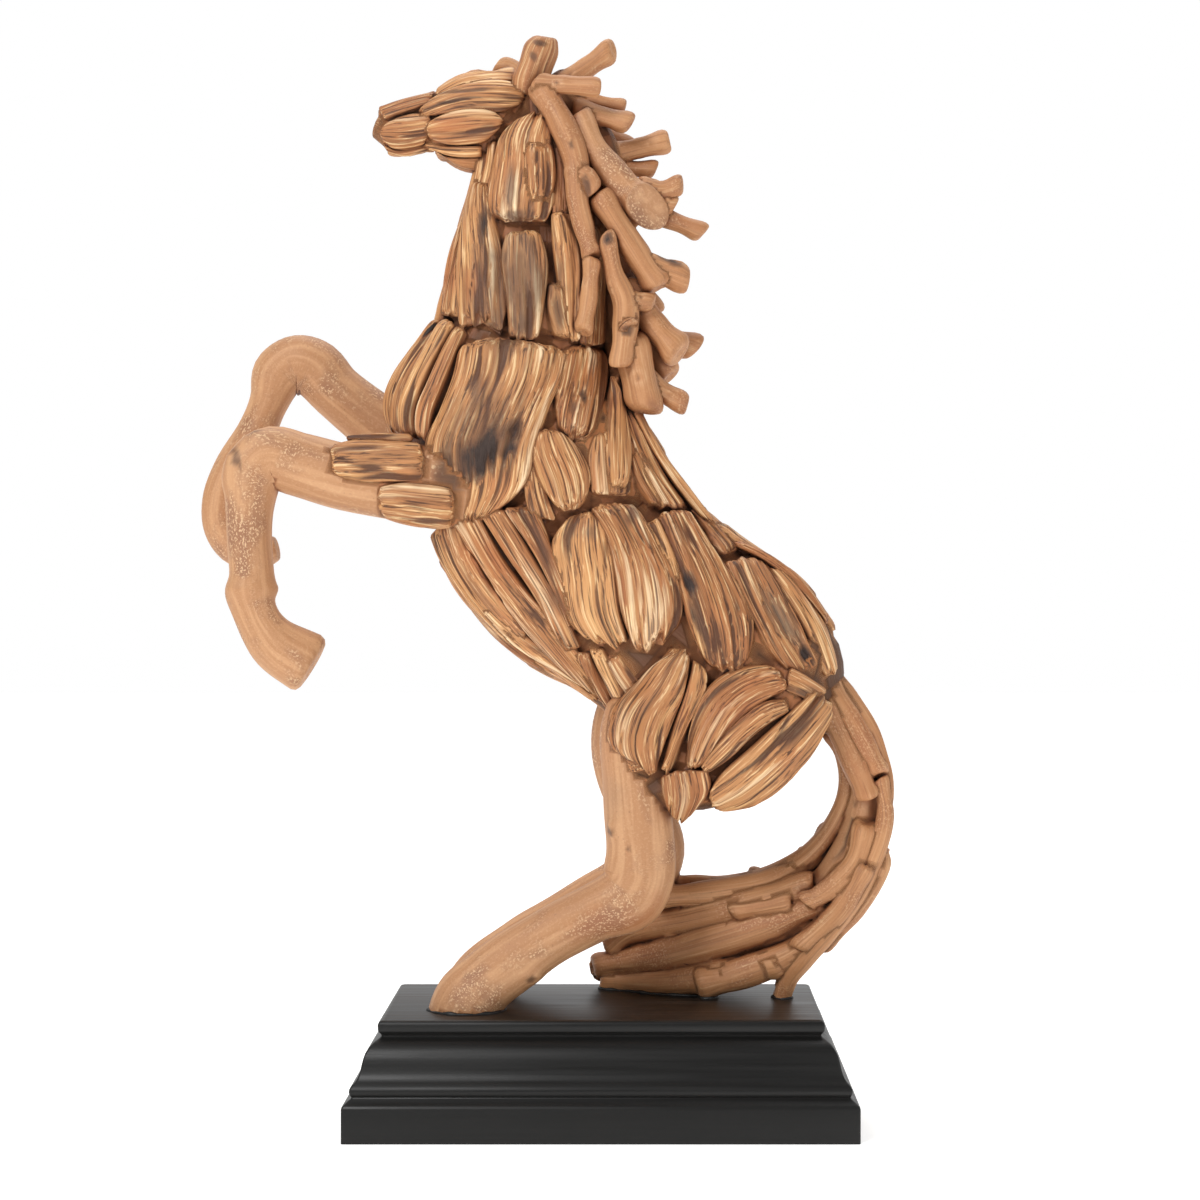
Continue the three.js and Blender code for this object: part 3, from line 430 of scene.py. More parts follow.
# %% Stains
STAINS = [
    [478, 455, 56, 30, 135, 3.4, 1, 0, 0], [418, 478, 26, 16, 90, 0, 0.2, 0.2, 0], [513, 428, 15, 13, 60, 2.4, 0.7, 0, 0.3],
    [511, 446, 8, 7, 0, 2, 0.9, 0, 0], [492, 430, 26, 8, 120, 0.8, 0.7, 0, 0.2],
    [483, 222, 26, 7, 98, 1.6, 0.75, 0, 0.2], [484, 325, 7, 26, 90, 0.2, 0.45, 0.1, 0],
    [522, 322, 18, 14, 90, 0.3, 0.35, 0, 0.7], [560, 312, 24, 12, 80, 0.6, 0.3, 0, 0.5],
    [475, 385, 22, 7, 100, 0.6, 0.2, 0, 0.6], [512, 190, 30, 9, 95, 0.8, 0.25, 0, 0.5],
    [516, 216, 10, 24, 90, 0.4, 0.4, 0, 0.3], [583, 396, 8, 4, 80, 0.9, 0.9, 0, 0],
    [574, 405, 14, 5, 100, 0.5, 0.4, 0.1, 0], [690, 583, 15, 8, 70, 1.8, 0.95, 0, 0],
    [698, 620, 34, 5, 68, 1, 0.6, 0, 0], [806, 655, 13, 7, 55, 2, 1, 0, 0.2],
    [783, 617, 44, 13, 57, 3, 0.1, 0, 0.9], [628, 585, 38, 18, 60, 0.2, 0.1, 0.5, 0.1],
    [588, 532, 12, 12, 60, 0.2, 0.1, 0, 0.6], [632, 515, 10, 16, 30, 0, 0.3, 0.1, 0.2],
    [477, 573, 58, 9, 51, 3.4, 0, 1, 0], [735, 712, 48, 30, 130, 0.6, 0, 0.35, 0],
    [690, 700, 34, 10, 110, 0.3, 0, 0.35, 0], [470, 285, 34, 14, 92, 0, 0, 0.6, 0],
    [448, 280, 40, 9, 100, 0, 0, 0.5, 0], [505, 560, 50, 26, 60, 0, 0, 0.45, 0],
    [585, 372, 22, 14, 100, 0, 0, 0.35, 0], [455, 127, 28, 10, 0, 0, 0, 0.35, 0],
    [545, 560, 42, 9, 70, 0.6, 0.35, 0.25, 0], [556, 600, 30, 10, 65, 0.4, 0.3, 0.3, 0],
    [648, 168, 14, 9, 20, 0.4, 1, 0, 0], [672, 260, 20, 5, 25, 0, 0.8, 0, 0],
    [615, 400, 16, 7, 80, 0, 0.2, 0.4, 0], [655, 410, 26, 9, 60, 0, 0.2, 0.3, 0],
    [598, 755, 50, 24, 100, 0, 0, 0.15, 0], [620, 968, 40, 16, 10, 0, 0, 0.4, 0],
    [690, 978, 50, 9, 5, 0, 0, 0.35, 0], [605, 828, 20, 9, 90, 0, 0.25, 0, 0.3],
    [612, 829, 12, 9, 80, -2.6, 0, 0, 0], [612, 830, 5, 4, 0, 2.4, 0.8, 0, 0], [628, 847, 3, 3, 0, 1, 0.8, 0, 0],
    [530, 976, 14, 11, 20, -2, 0, 0, 0], [530, 977, 5, 4, 0, 1.6, 0.5, 0, 0.2],
    [232, 462, 16, 9, 85, -1.6, 0, 0, 0], [256, 437, 15, 9, 0, -2, 0, 0, 0], [233, 590, 12, 14, 90, -1.2, 0, 0, 0],
    [372, 128, 9, 4, 90, 0, 0.15, 0, 0.1], [400, 114, 24, 3, 160, 0.8, 0.5, 0, 0],
    [470, 90, 34, 3, 175, 0.4, 0.5, 0, 0.1], [450, 101, 26, 2.5, 172, 0.7, 0.6, 0, 0],
    [533, 55, 8, 6, 80, 1, 0.5, 0, 0.2], [540, 41, 9, 5, 20, 0.6, 0.6, 0, 0],
    [608, 241, 7, 6, 0, 1.2, 0.8, 0, 0], [586, 183, 16, 5, 80, 1.4, 0.6, 0, 0],
    [572, 142, 9, 2.5, 80, 1.2, 0.8, 0, 0], [627, 330, 9, 7, 0, 0.8, 0.6, 0, 0],
    [236, 455, 24, 4, 75, 0.3, 0.35, 0, 0.1], [252, 432, 12, 5, 170, 0.5, 0.45, 0, 0],
    [640, 210, 24, 12, 15, 0.6, 0.1, 0, 0], [690, 935, 120, 46, 0, 0, 0.1, 0.6, 0],
    [862, 760, 90, 26, 90, 0, 0.08, 0.25, 0], [518, 286, 84, 60, 90, 0, 0.3, 0, 0.3],
    [482, 430, 66, 42, 120, 0, 0.26, 0, 0.15], [612, 800, 30, 20, 90, 0, 0.05, 0, 0.25],
 [805, 695, 26, 8, 150, 0, 0.2, 0, 0.2],
]


def stained(points, fibres):
    """How deep the stains dish each point, and the black, orange and grey painted there."""
    across, down = to_picture(points)
    dish = np.zeros(len(points))
    wash = np.zeros((len(points), 3))
    visible = np.clip(-points[:, 1] / 6 - 0.2, 0, 1)
    for x, y, long, short, angle, deep, *paint in STAINS:
        turn = math.radians(angle)
        u = ((across - x) * math.cos(turn) + (down - y) * math.sin(turn)) / long
        v = ((down - y) * math.cos(turn) - (across - x) * math.sin(turn)) / short
        ragged = 0.35 * fibres + 0.15 * wander(x + y, across / 8, down / 8)
        cover = np.clip(1.4 - 1.4 * (np.hypot(u, v) + ragged), 0, 1) * visible
        dish += deep * cover ** 1.5
        wash = np.maximum(wash, cover[:, None] * np.array(paint))
    return dish, wash


# %% [markdown]
# # Carving the planks
# Weathered wood loses its soft summer growth first, so the hard lines stand up as ridges and the rest sinks
# into furrows. The relief adds four things: broad swells, ridges, narrow furrows, and a few long splits that
# start at an end. The ends are torn, not sawn, so each fibre stops at its own length.

# %% Planks
RIDGE_MM = 6
FURROW_MM = 2.5
FIBRE_MM = 1.7
RELIEF_MM = 1.25
BLUNT = 3.0
SINK = 8
GRAIN_FOLLOWS = 0.4
UNDERSIDE_SHARE = 0.18


def wood_relief(across, along, seed):
    """Height in mm of weathered grain at places in mm across and along a plank."""
    lines = across + 2.4 * wander(seed, across / 13, along / 24) + 0.5 * wander(seed + 1, across / 5, along / 9)
    broad = wander(seed + 2, lines / RIDGE_MM, along / 60)
    fibre = wander(seed + 3, lines / FIBRE_MM, along / 34)
    seam = wander(seed + 4, lines / FURROW_MM, along / 48)
    torn = np.clip(0.55 + 0.9 * wander(seed + 5, lines / 7, along / 22), 0, 1)
    furrow = np.exp(-(seam / 0.22) ** 2) * torn
    return 0.75 * broad + 0.5 * fibre - 1.0 * furrow


def plank(laid, lift, seed, pitch=0.85, ragged=(1, 2.5), depth=1.0):
    """One carved plank on a laid surface."""
    surface, length, half_width = laid
    half = half_width(np.linspace(0, 1, 9)).max()
    turns = np.linspace(0, 2 * math.pi, 721)
    section = np.stack([np.abs(np.cos(turns)) ** (2 / BLUNT) * np.sign(np.cos(turns)) * half,
                        np.abs(np.sin(turns)) ** (2 / BLUNT) * np.sign(np.sin(turns)) * lift], axis=1)
    steps = np.linalg.norm(np.diff(section, axis=0), axis=1)
    steps[np.sin((turns[1:] + turns[:-1]) / 2) < 0] *= UNDERSIDE_SHARE
    walked = np.concatenate([[0], np.cumsum(steps)])
    around = max(12, round(walked[-1] / pitch))
    rings = max(10, round(length / (3 * pitch)) + 6)
    mesh, turn, ring = ball_of_wood(around, rings)
    angle = np.interp(turn / around * walked[-1], walked, turns)
    even = ring / rings
    t = 0.4 * even + 0.6 * (1 - np.cos(math.pi * even)) / 2
    from_end = np.minimum(t, 1 - t) * length
    corner = min(0.36 * half, 0.25 * length)
    girth = (1 - (1 - np.minimum(from_end / corner, 1)) ** 2.4) ** (1 / 2.4)
    roll = (1 - (1 - np.minimum(from_end / (1.3 * lift), 1)) ** 2) ** 0.5
    u = np.sign(np.cos(angle)) * np.abs(np.cos(angle)) ** (2 / BLUNT) * girth
    proud = np.sign(np.sin(angle)) * np.abs(np.sin(angle)) ** (2 / BLUNT) * roll
    start_tooth = (0.5 + 0.5 * wander(seed + 7, u * half / 2.3, t * 0)) * 1.5 * ragged[0] * (1 - t) ** 5
    end_tooth = (0.5 + 0.5 * wander(seed + 8, u * half / 2.3, t * 0)) * 1.5 * ragged[1] * t ** 5
    t_torn = np.clip(t + (start_tooth - end_tooth) / length, 0, 1)
    across = u * (GRAIN_FOLLOWS * half + (1 - GRAIN_FOLLOWS) * half_width(t_torn))
    along = t_torn * length
    relief = depth * wood_relief(across, along, seed)
    draw = np.random.default_rng(seed)
    for _ in range(1 + int(half / 6)):
        from_start = draw.random() < 0.4
        spot = draw.uniform(-0.75, 0.75) * half
        reach = draw.uniform(0.35, 0.8)
        gone = t_torn if from_start else 1 - t_torn
        bent = spot + 1.2 * wander(seed + 9, along / 14, spot + t * 0)
        split = np.exp(-((across - bent) / 0.75) ** 2) * np.clip(1 - gone / reach, 0, 1) ** 0.5
        relief -= depth * 1.3 * split
    top = np.clip(proud * 1.6, 0, 1)
    base, outward = surface(u, t_torn)
    dish, wash = stained(base + outward * lift, wander(seed + 6, across / 1.6, along / 15))
    height = np.where(proud > 0, proud * lift, proud * SINK)
    height = height + top * (relief - np.minimum(dish, lift + 1.5))
    offsets = np.random.default_rng(seed).uniform(0, 400, 3)
    grain = np.stack([across, height, along], axis=1) + offsets
    finish_stick(mesh, base + outward * height[:, None], grain, relief / RELIEF_MM / depth ** 0.7 * top, 0,
                 draw.random(), wash)


# %% [markdown]
# # The near side, plank by plank
# Each row is the body the plank lies on, its left edge and right edge in picture pixels from its start to its
# end, how far it stands proud in mm, and how ragged its two ends are in mm.

# %% Near planks
NEAR_PLANKS = [
    # the head: nose bridge, brow, long cheek, oval plate, muzzle, lips and jaw
    ["head", [(380, 108), (402, 101), (434, 94)], [(386, 119), (408, 111), (430, 104)], 2.2, (0.5, 1)],
    ["head", [(436, 93), (460, 77), (490, 71), (516, 72)], [(441, 97), (463, 88), (492, 83), (520, 83)], 2.4, (1, 1)],
    ["head", [(420, 110), (442, 95), (472, 84), (507, 83), (527, 94)],
     [(422, 117), (440, 115), (462, 112), (498, 112), (522, 104)], 3.2, (1.5, 1.5)],
    ["head", [(427, 124), (445, 115), (470, 110), (492, 112), (502, 119)],
     [(430, 136), (447, 143), (468, 144), (486, 140), (500, 127)], 3, (0.6, 0.8)],
    ["head", [(382, 128), (395, 119), (412, 115), (430, 115)], [(382, 138), (392, 147), (408, 148), (428, 142)], 2, (0.6, 1)],
    ["head", [(386, 146), (398, 150), (426, 146)], [(391, 154), (404, 157), (428, 151)], 1.5, (0.4, 0.6)],
    ["head", [(426, 143), (450, 146), (480, 146)], [(430, 150), (452, 155), (482, 156)], 2, (0.6, 1)],
    ["head", [(436, 152), (458, 158), (480, 158)], [(440, 155), (460, 167), (480, 171)], 1.8, (0.6, 1)],
    # the neck, from the throat back
    ["neck", [(529, 111), (503, 136), (495, 168), (489, 204), (498, 224)],
     [(546, 114), (551, 142), (554, 172), (552, 205), (542, 227)], 4.5, (3, 3.5)],
    ["neck", [(527, 140), (524, 165), (525, 184), (531, 203)], [(550, 140), (554, 165), (554, 184), (547, 203)], 6, (2, 0.6)],
    ["neck chest", [(478, 185), (468, 205), (461, 240), (459, 280), (461, 340)],
     [(490, 185), (494, 215), (503, 252), (506, 292), (507, 340)], 4.5, (1, 7)],
    ["neck chest", [(508, 233), (503, 256), (507, 295), (510, 344)], [(539, 232), (547, 262), (544, 302), (536, 345)], 4.5, (1, 2)],
    ["neck chest", [(551, 214), (553, 250), (558, 288), (565, 344)], [(574, 214), (583, 250), (582, 300), (578, 345)], 4, (1, 3)],
    ["neck chest", [(549, 286), (547, 308), (555, 339)], [(560, 284), (567, 308), (574, 340)], 4.4, (1, 1.5)],
    ["neck chest", [(466, 203), (450, 255), (440, 318)], [(473, 215), (461, 262), (461, 318)], 3.2, (1, 2)],
    ["neck", [(478, 146), (477, 165), (474, 190)], [(497, 140), (494, 165), (488, 188)], 2.6, (1, 1)],
    ["neck", [(549, 120), (554, 165), (552, 215)], [(568, 120), (574, 165), (575, 215)], 2, (1, 1)],
    ["neck chest", [(574, 235), (583, 262), (583, 300), (578, 344)], [(598, 225), (604, 262), (604, 300), (604, 345)], 2.4, (1, 1)],
    # strips that fan down the front of the chest
    ["chest trunk", [(436, 321), (414, 350), (395, 380), (388, 405), (392, 434)],
     [(447, 322), (428, 352), (410, 382), (402, 408), (404, 436)], 5, (1, 2)],
    ["chest trunk", [(447, 322), (430, 352), (413, 382), (405, 408), (407, 437)],
     [(458, 326), (443, 354), (428, 384), (418, 410), (419, 438)], 5.5, (1, 2)],
    ["chest trunk", [(458, 327), (445, 354), (430, 386), (421, 412), (421, 440)],
     [(467, 334), (456, 358), (444, 388), (434, 414), (431, 444)], 5, (1, 2)],
    # the big shoulder and what lies round it
    ["chest trunk", [(463, 336), (456, 375), (443, 410), (428, 448), (442, 488), (462, 523)],
     [(564, 344), (559, 378), (546, 410), (536, 445), (524, 484), (484, 523)], 5.5, (1.5, 2.5)],
    ["chest trunk", [(566, 344), (556, 380), (556, 408), (561, 441)], [(602, 348), (607, 372), (601, 405), (588, 443)], 4.5, (1.5, 4)],
    ["chest trunk", [(611, 376), (607, 410), (604, 450), (609, 488)], [(621, 376), (624, 410), (629, 450), (626, 488)], 5, (1.5, 0.8)],
    ["chest trunk", [(594, 436), (588, 462), (592, 496)], [(614, 432), (628, 462), (630, 496)], 2.4, (1, 1)],
    ["chest trunk", [(539, 431), (532, 452), (542, 484), (560, 512)], [(556, 431), (574, 446), (589, 476), (582, 510)], 5, (1, 1)],
    ["chest trunk", [(524, 452), (524, 484), (530, 520)], [(538, 450), (544, 486), (556, 520)], 2, (1, 1.5)],
    # long splinters of the back
    ["trunk", [(622, 410), (630, 445), (645, 480), (664, 512)], [(632, 408), (646, 446), (666, 482), (690, 512)], 3.4, (2, 3)],
    ["trunk", [(632, 412), (652, 452), (676, 488), (706, 524)], [(640, 408), (662, 450), (690, 488), (720, 528)], 4, (2, 3)],
    ["trunk", [(628, 455), (636, 482), (652, 506)], [(640, 452), (655, 480), (668, 504)], 2.6, (2, 2)],
    ["trunk", [(690, 508), (706, 532), (722, 556)], [(704, 506), (722, 530), (738, 552)], 3.4, (2, 2)],
    # strips along the belly
    ["trunk", [(432, 532), (441, 562), (462, 598), (490, 628), (514, 646)],
     [(456, 518), (474, 562), (494, 592), (514, 616), (528, 634)], 3.8, (1, 2)],
    ["trunk", [(450, 512), (478, 562), (508, 604), (545, 648), (592, 692)],
     [(478, 510), (506, 562), (542, 606), (576, 646), (606, 690)], 4, (2, 2)],
    ["trunk", [(478, 508), (508, 556), (538, 600), (566, 652)], [(504, 506), (534, 556), (560, 600), (584, 652)], 4, (2, 3)],
    ["trunk", [(504, 508), (534, 552), (554, 590), (572, 630)], [(536, 506), (554, 552), (568, 590), (584, 628)], 4, (2, 3)],
    ["trunk", [(478, 604), (512, 640), (556, 674), (596, 704)], [(492, 604), (524, 634), (566, 664), (606, 694)], 3.4, (2, 3)],
    ["trunk", [(576, 650), (590, 682), (608, 712)], [(590, 650), (604, 680), (620, 712)], 4, (2, 4)],
    ["trunk", [(590, 648), (604, 676), (620, 706)], [(604, 648), (618, 674), (634, 702)], 4.4, (2, 4)],
    ["trunk", [(604, 656), (618, 678), (632, 698)], [(620, 654), (634, 674), (648, 690)], 3.4, (2, 4)],
    # the barrel: a double slab, a burnt slab and the small ones between
    ["trunk", [(571, 515), (553, 542), (559, 575), (567, 615), (592, 642)],
     [(594, 512), (608, 540), (614, 572), (620, 612), (634, 652)], 5, (1, 5)],
    ["trunk", [(588, 506), (606, 538), (614, 570), (622, 612), (640, 656)],
     [(632, 502), (658, 550), (676, 580), (681, 612), (668, 644)], 6, (1, 6)],
    ["trunk", [(644, 524), (654, 552), (668, 584)], [(658, 520), (672, 550), (682, 582)], 4, (1, 2)],
    ["trunk", [(657, 514), (668, 548), (678, 582), (690, 625), (712, 674)],
     [(684, 512), (706, 542), (732, 580), (752, 622), (744, 672)], 5, (1, 3.5)],
    ["trunk", [(722, 560), (737, 590), (756, 626), (772, 654), (790, 674)],
     [(764, 562), (780, 590), (797, 622), (809, 648), (818, 668)], 4.5, (1, 1.5)],
    ["trunk", [(766, 572), (786, 602), (808, 640), (826, 684)], [(778, 568), (802, 598), (824, 632), (838, 676)], 4.4, (1, 3)],
    ["trunk", [(734, 546), (764, 562), (796, 590), (822, 624)], [(739, 541), (772, 556), (806, 584), (832, 620)], 4.4, (1, 3)],
    # the haunch
    ["thigh stifle trunk", [(672, 646), (642, 684), (614, 716), (612, 740), (632, 764)],
     [(691, 652), (683, 690), (670, 722), (660, 750), (655, 776)], 5, (1, 0.6)],
    ["thigh stifle trunk", [(693, 660), (686, 690), (674, 722), (662, 768)],
     [(706, 670), (702, 694), (690, 724), (668, 778)], 4, (1, 1.5)],
    ["thigh stifle trunk", [(776, 667), (738, 669), (706, 692), (692, 728), (686, 768)],
     [(788, 688), (766, 700), (744, 714), (720, 738), (700, 768)], 5, (0.8, 1)],
    ["thigh stifle trunk", [(784, 700), (764, 702), (742, 716), (718, 738), (700, 764)],
     [(788, 712), (768, 724), (750, 738), (732, 756), (706, 774)], 3.6, (0.6, 0.8)],
    ["thigh stifle trunk", [(818, 688), (786, 716), (752, 747), (722, 774), (706, 797)],
     [(832, 708), (815, 744), (790, 776), (756, 801), (712, 808)], 4.4, (1.5, 3)],
    ["thigh stifle trunk", [(662, 774), (664, 795), (673, 820)], [(706, 770), (710, 788), (684, 822)], 3, (1, 3)],
    ["thigh stifle trunk", [(790, 668), (806, 676), (826, 690)], [(786, 690), (800, 696), (816, 706)], 2.4, (1, 1)],
    # plates on the forearms
    ["foreleg", [(329, 448), (355, 442), (390, 443), (423, 446)], [(332, 474), (358, 480), (392, 481), (424, 480)], 3.5, (3, 1)],
    ["foreleg", [(376, 488), (400, 484), (430, 486), (454, 490)], [(380, 514), (402, 522), (430, 527), (452, 527)], 3.5, (2, 1)],
    ["foreleg", [(345, 436), (380, 433), (413, 434)], [(350, 442), (380, 441), (415, 442)], 2.5, (1, 2)],
]
for index, (names, left, right, lift, ragged) in enumerate(NEAR_PLANKS):
    fine = 0.66 if names == "head" else 0.91
    slab = laid_between(names.split(), left, right)
    plank(slab, lift, 100 + 20 * index, pitch=fine, ragged=ragged, depth=0.45 if names == "head" else 1)
print(len(NEAR_PLANKS), "near planks, faces:", sum(len(stick.data.polygons) for stick in sticks))

# %% [markdown]
# # Planks on the profile and on the far side
# The unseen side is finished in the same way with fewer, plainer planks. Rows are in mm: start x and z, end
# x and z, sideways bow, half widths at the start, middle and end, and lift.

# %% Far and edge planks
EDGE_PLANKS = {
    "chest": [[-77, 371, -96, 320, -8, 4.5, 6, 5, 4], [-84, 372, -104, 318, -8, 5, 8, 6, 3.5]],
    "trunk": [
        [-80, 262, -20, 203, -6, 6, 8, 5, 4], [-40, 214, 8, 184, -3, 6, 8, 5, 4],
        [18, 328, 64, 268, 2, 7, 8, 5, 4], [56, 282, 102, 240, 3, 8, 9, 6, 4],
        [74, 266, 106, 222, 4, 7, 9, 6, 3], [5, 341, 30, 306, 0, 6, 8, 6, 5],
    ],
    "neck": [[-58, 452, -68, 412, 0, 5, 6, 5, 4], [-66, 418, -80, 368, 0, 5, 7, 6, 4]],
    "head": [
        [-107, 472, -77, 484, 0, 3, 5, 4, 1.5], [-78, 486, -42, 492, 1, 4, 6, 6, 2],
        [-103, 452, -78, 452, 0, 3, 4, 4, 1.5], [-78, 452, -58, 446, 0, 4, 5, 5, 1.5],
    ],
}
FAR_PLANKS = {
    "chest trunk": [
        [-47, 360, -54, 288, -2, 15, 19, 12, 5], [-72, 366, -86, 320, -2, 7, 9, 7, 4.5],
        [-14, 358, -20, 304, 0, 9, 13, 9, 4.5], [8, 344, 4, 290, 0, 6, 8.5, 7, 4],
    ],
    "trunk": [
        [-28, 300, -24, 240, -2, 8, 11, 7, 4.5], [-6, 294, 4, 226, -2, 9, 12.5, 8, 5],
        [20, 290, 32, 220, 2, 8, 12.5, 9, 5], [42, 280, 60, 212, 3, 7, 11, 8, 4.5],
        [64, 262, 96, 206, 2, 8, 10.5, 7, 4.5], [-62, 274, -20, 220, -3, 6, 9, 6, 3.5],
        [-46, 272, 2, 198, -3, 6, 8, 5, 4], [-6, 222, 12, 190, 0, 7, 9, 5, 4],
        [18, 322, 48, 280, 2, 6, 7.5, 5, 3.5], [64, 270, 106, 206, 3, 5, 7, 5, 3.5],
        [-62, 300, -46, 268, 0, 8, 10, 8, 3],
    ],
    "neck chest": [
        [-35, 466, -40, 412, 0, 9, 14, 10, 4.5], [-56, 432, -58, 366, 0, 5, 10, 9, 4],
        [-38, 414, -36, 364, 0, 8, 10, 8, 4.5], [-18, 424, -12, 364, 0, 7, 9, 7, 4],
        [-54, 456, -56, 430, 0, 5, 6, 4, 2.5], [-18, 456, -16, 420, 0, 6, 7, 6, 2.5],
    ],
    "head": [
        [-105, 468, -76, 476, 0, 3.5, 4.5, 3.5, 2], [-78, 480, -40, 487, 1, 4, 5, 4.5, 2],
        [-86, 471, -36, 476, 1, 4, 6.5, 6, 3], [-83, 460, -48, 462, 0, 5, 8, 6, 3],
        [-104, 458, -82, 460, 0, 5, 7, 6, 2], [-80, 453, -58, 448.5, 0, 3, 4.5, 4, 1.5],
    ],
    "far_thigh far_stifle trunk": [
        [80, 212, 42, 166, -3, 8, 15, 8, 4.5], [100, 198, 50, 154, 3, 7, 11, 8, 3.5],
        [43, 166, 32, 144, 1, 8, 8, 4, 3],
    ],
    "far_stifle far_thigh trunk": [[36, 220, 16, 168, -2, 8, 13, 11, 4.5]],
    "far_foreleg": [[-118, 335, -84, 318, 1, 5, 7, 7, 3]],
}
seed = 3000
for side, groups in ((0, EDGE_PLANKS), (1, FAR_PLANKS)):
    for names, rows in groups.items():
        for *row, lift in rows:
            widths = [width * (1.12 if side else 1) for width in row[5:]]
            calm = 0.45 if names == "head" else 0.85
            plank(laid_along(names.split(), side, [*row[:5], *widths]), lift, seed,
                  pitch=1.7 if side else 1.2, depth=calm)
            seed += 20
print("Sticks so far:", len(sticks))

# %% [markdown]
# # Limbs, branches and strands
# Legs, mane and tail are smooth, water-worn wood: round, a little lumpy, with small knots and cut ends. Their
# rings run along the curve, and a cut end is a nearly flat face with a soft rim, slightly dished.

# %% Branches
NEAR_MANE = [
    [[-22, -2, 484, 5], [-8, -2, 492.8, 5.4], [4.8, -3, 502, 5.2]],
    [[-31, -20, 482, 4.5], [-18, -22, 481, 5], [-1, -24, 479.5, 4.6]],
    [[-29, -18, 481, 6], [-20, -21, 465, 7], [-12.5, -22, 446, 6.2], [-11.5, -25, 428, 5],
     [-7.5, -26, 411, 4.8], [-4.3, -27, 400, 4.6]],
    [[-12, -24, 440, 4.5], [-6, -25, 436, 5], [-4.5, -25, 430, 3.5]],
    [[16, -12, 434, 6], [28, -9, 434, 5], [37.5, -8, 437.5, 4.4]],
    [[20, -8, 428, 6], [34, -6, 427.5, 4.2]],
    [[-14, -8, 473, 5.2], [0, -10, 468.5, 5.4], [13.2, -11, 465, 5.2]],
    [[-8, -2, 478, 3.8], [10.5, -2, 474.3, 3.8]],
    [[2, 2, 452.5, 5.6], [17, 2, 456, 5.4], [31.5, 2, 459.5, 5.4]],
    [[6, 4, 447, 4.4], [25, 4, 446, 4.4]],
    [[14, -4, 428, 5], [30, -3, 422, 4.8], [47.6, -2, 415, 4.6]],
    [[-1.5, -21, 431, 6.4], [8, -22, 415, 6.5], [19.5, -20, 396.5, 7], [26, -19, 387, 6.6]],
    [[18, -18, 398, 6.5], [29, -16, 395, 6.6], [40, -14, 391, 6.2]],
    [[2.2, -27, 411, 4], [5.9, -27, 392.5, 5], [10.5, -26, 379.5, 6], [10.1, -26, 365, 6.2],
     [8.2, -26, 350, 4.8]],
    [[9, -26, 381.5, 5.2], [16, -24, 380.5, 4.6], [24, -22, 380, 4]],
    [[10, -28, 370, 4], [13, -31, 367.5, 4.4]],
    [[11, -14, 390, 6], [24.5, -16, 370, 7], [36, -16, 356.5, 7.8]],
    [[18, 9, 372, 6], [31, 9, 366.5, 5.6], [44, 10, 362, 6.6]],
    [[12, -17, 366, 8], [16.5, -19, 347, 9], [20.5, -18, 329.5, 7.4]],
    [[18, -16, 346, 6], [28, -12, 339.5, 5.8], [39.5, -10, 333.2, 5]],
    [[14, -2, 372, 7], [31.5, -3, 347, 7.4]],
    [[-4.5, -27, 401, 4.2], [-6, -28, 381, 4.3], [-8.8, -29, 365.5, 4.2]],
]
FAR_MANE = [
    [[-30, 12, 480, 6], [-18, 20, 458, 6.5], [-10, 23, 430, 6], [-4, 26, 400, 5]],
    [[-20, 10, 478, 5.5], [-4, 12, 466, 6], [12, 12, 456, 6]],
    [[-8, 14, 456, 6], [4, 18, 438, 7], [18, 18, 424, 7.5]],
    [[0, 16, 436, 6], [16, 20, 408, 7], [26, 18, 392, 7]],
    [[0, 24, 410, 5.5], [8, 27, 385, 6], [10, 27, 356, 6]],
    [[10, 14, 402, 6.5], [24, 16, 378, 7]],
    [[12, 16, 372, 8], [22, 18, 342, 8.5]],
    [[-8, 26, 400, 5], [-8, 28, 368, 4.8]],
]
SAWN_BRANCH = [
    [-12, -12, 470, 6.5], [-5, -16, 454, 7], [4, -18, 441.5, 7.6], [13, -18, 431, 8.4], [22, -17, 424, 8.2],
]
EARS = [
    [[-37, -8, 478, 6.4], [-33.6, -9, 488, 8.8], [-29.8, -10, 498, 8.4], [-26.4, -10, 506, 5.2]],
    [[-37, 7, 480, 7], [-39, 10, 490, 7], [-45, 12, 496, 5.5], [-52, 13, 497, 4]],
]
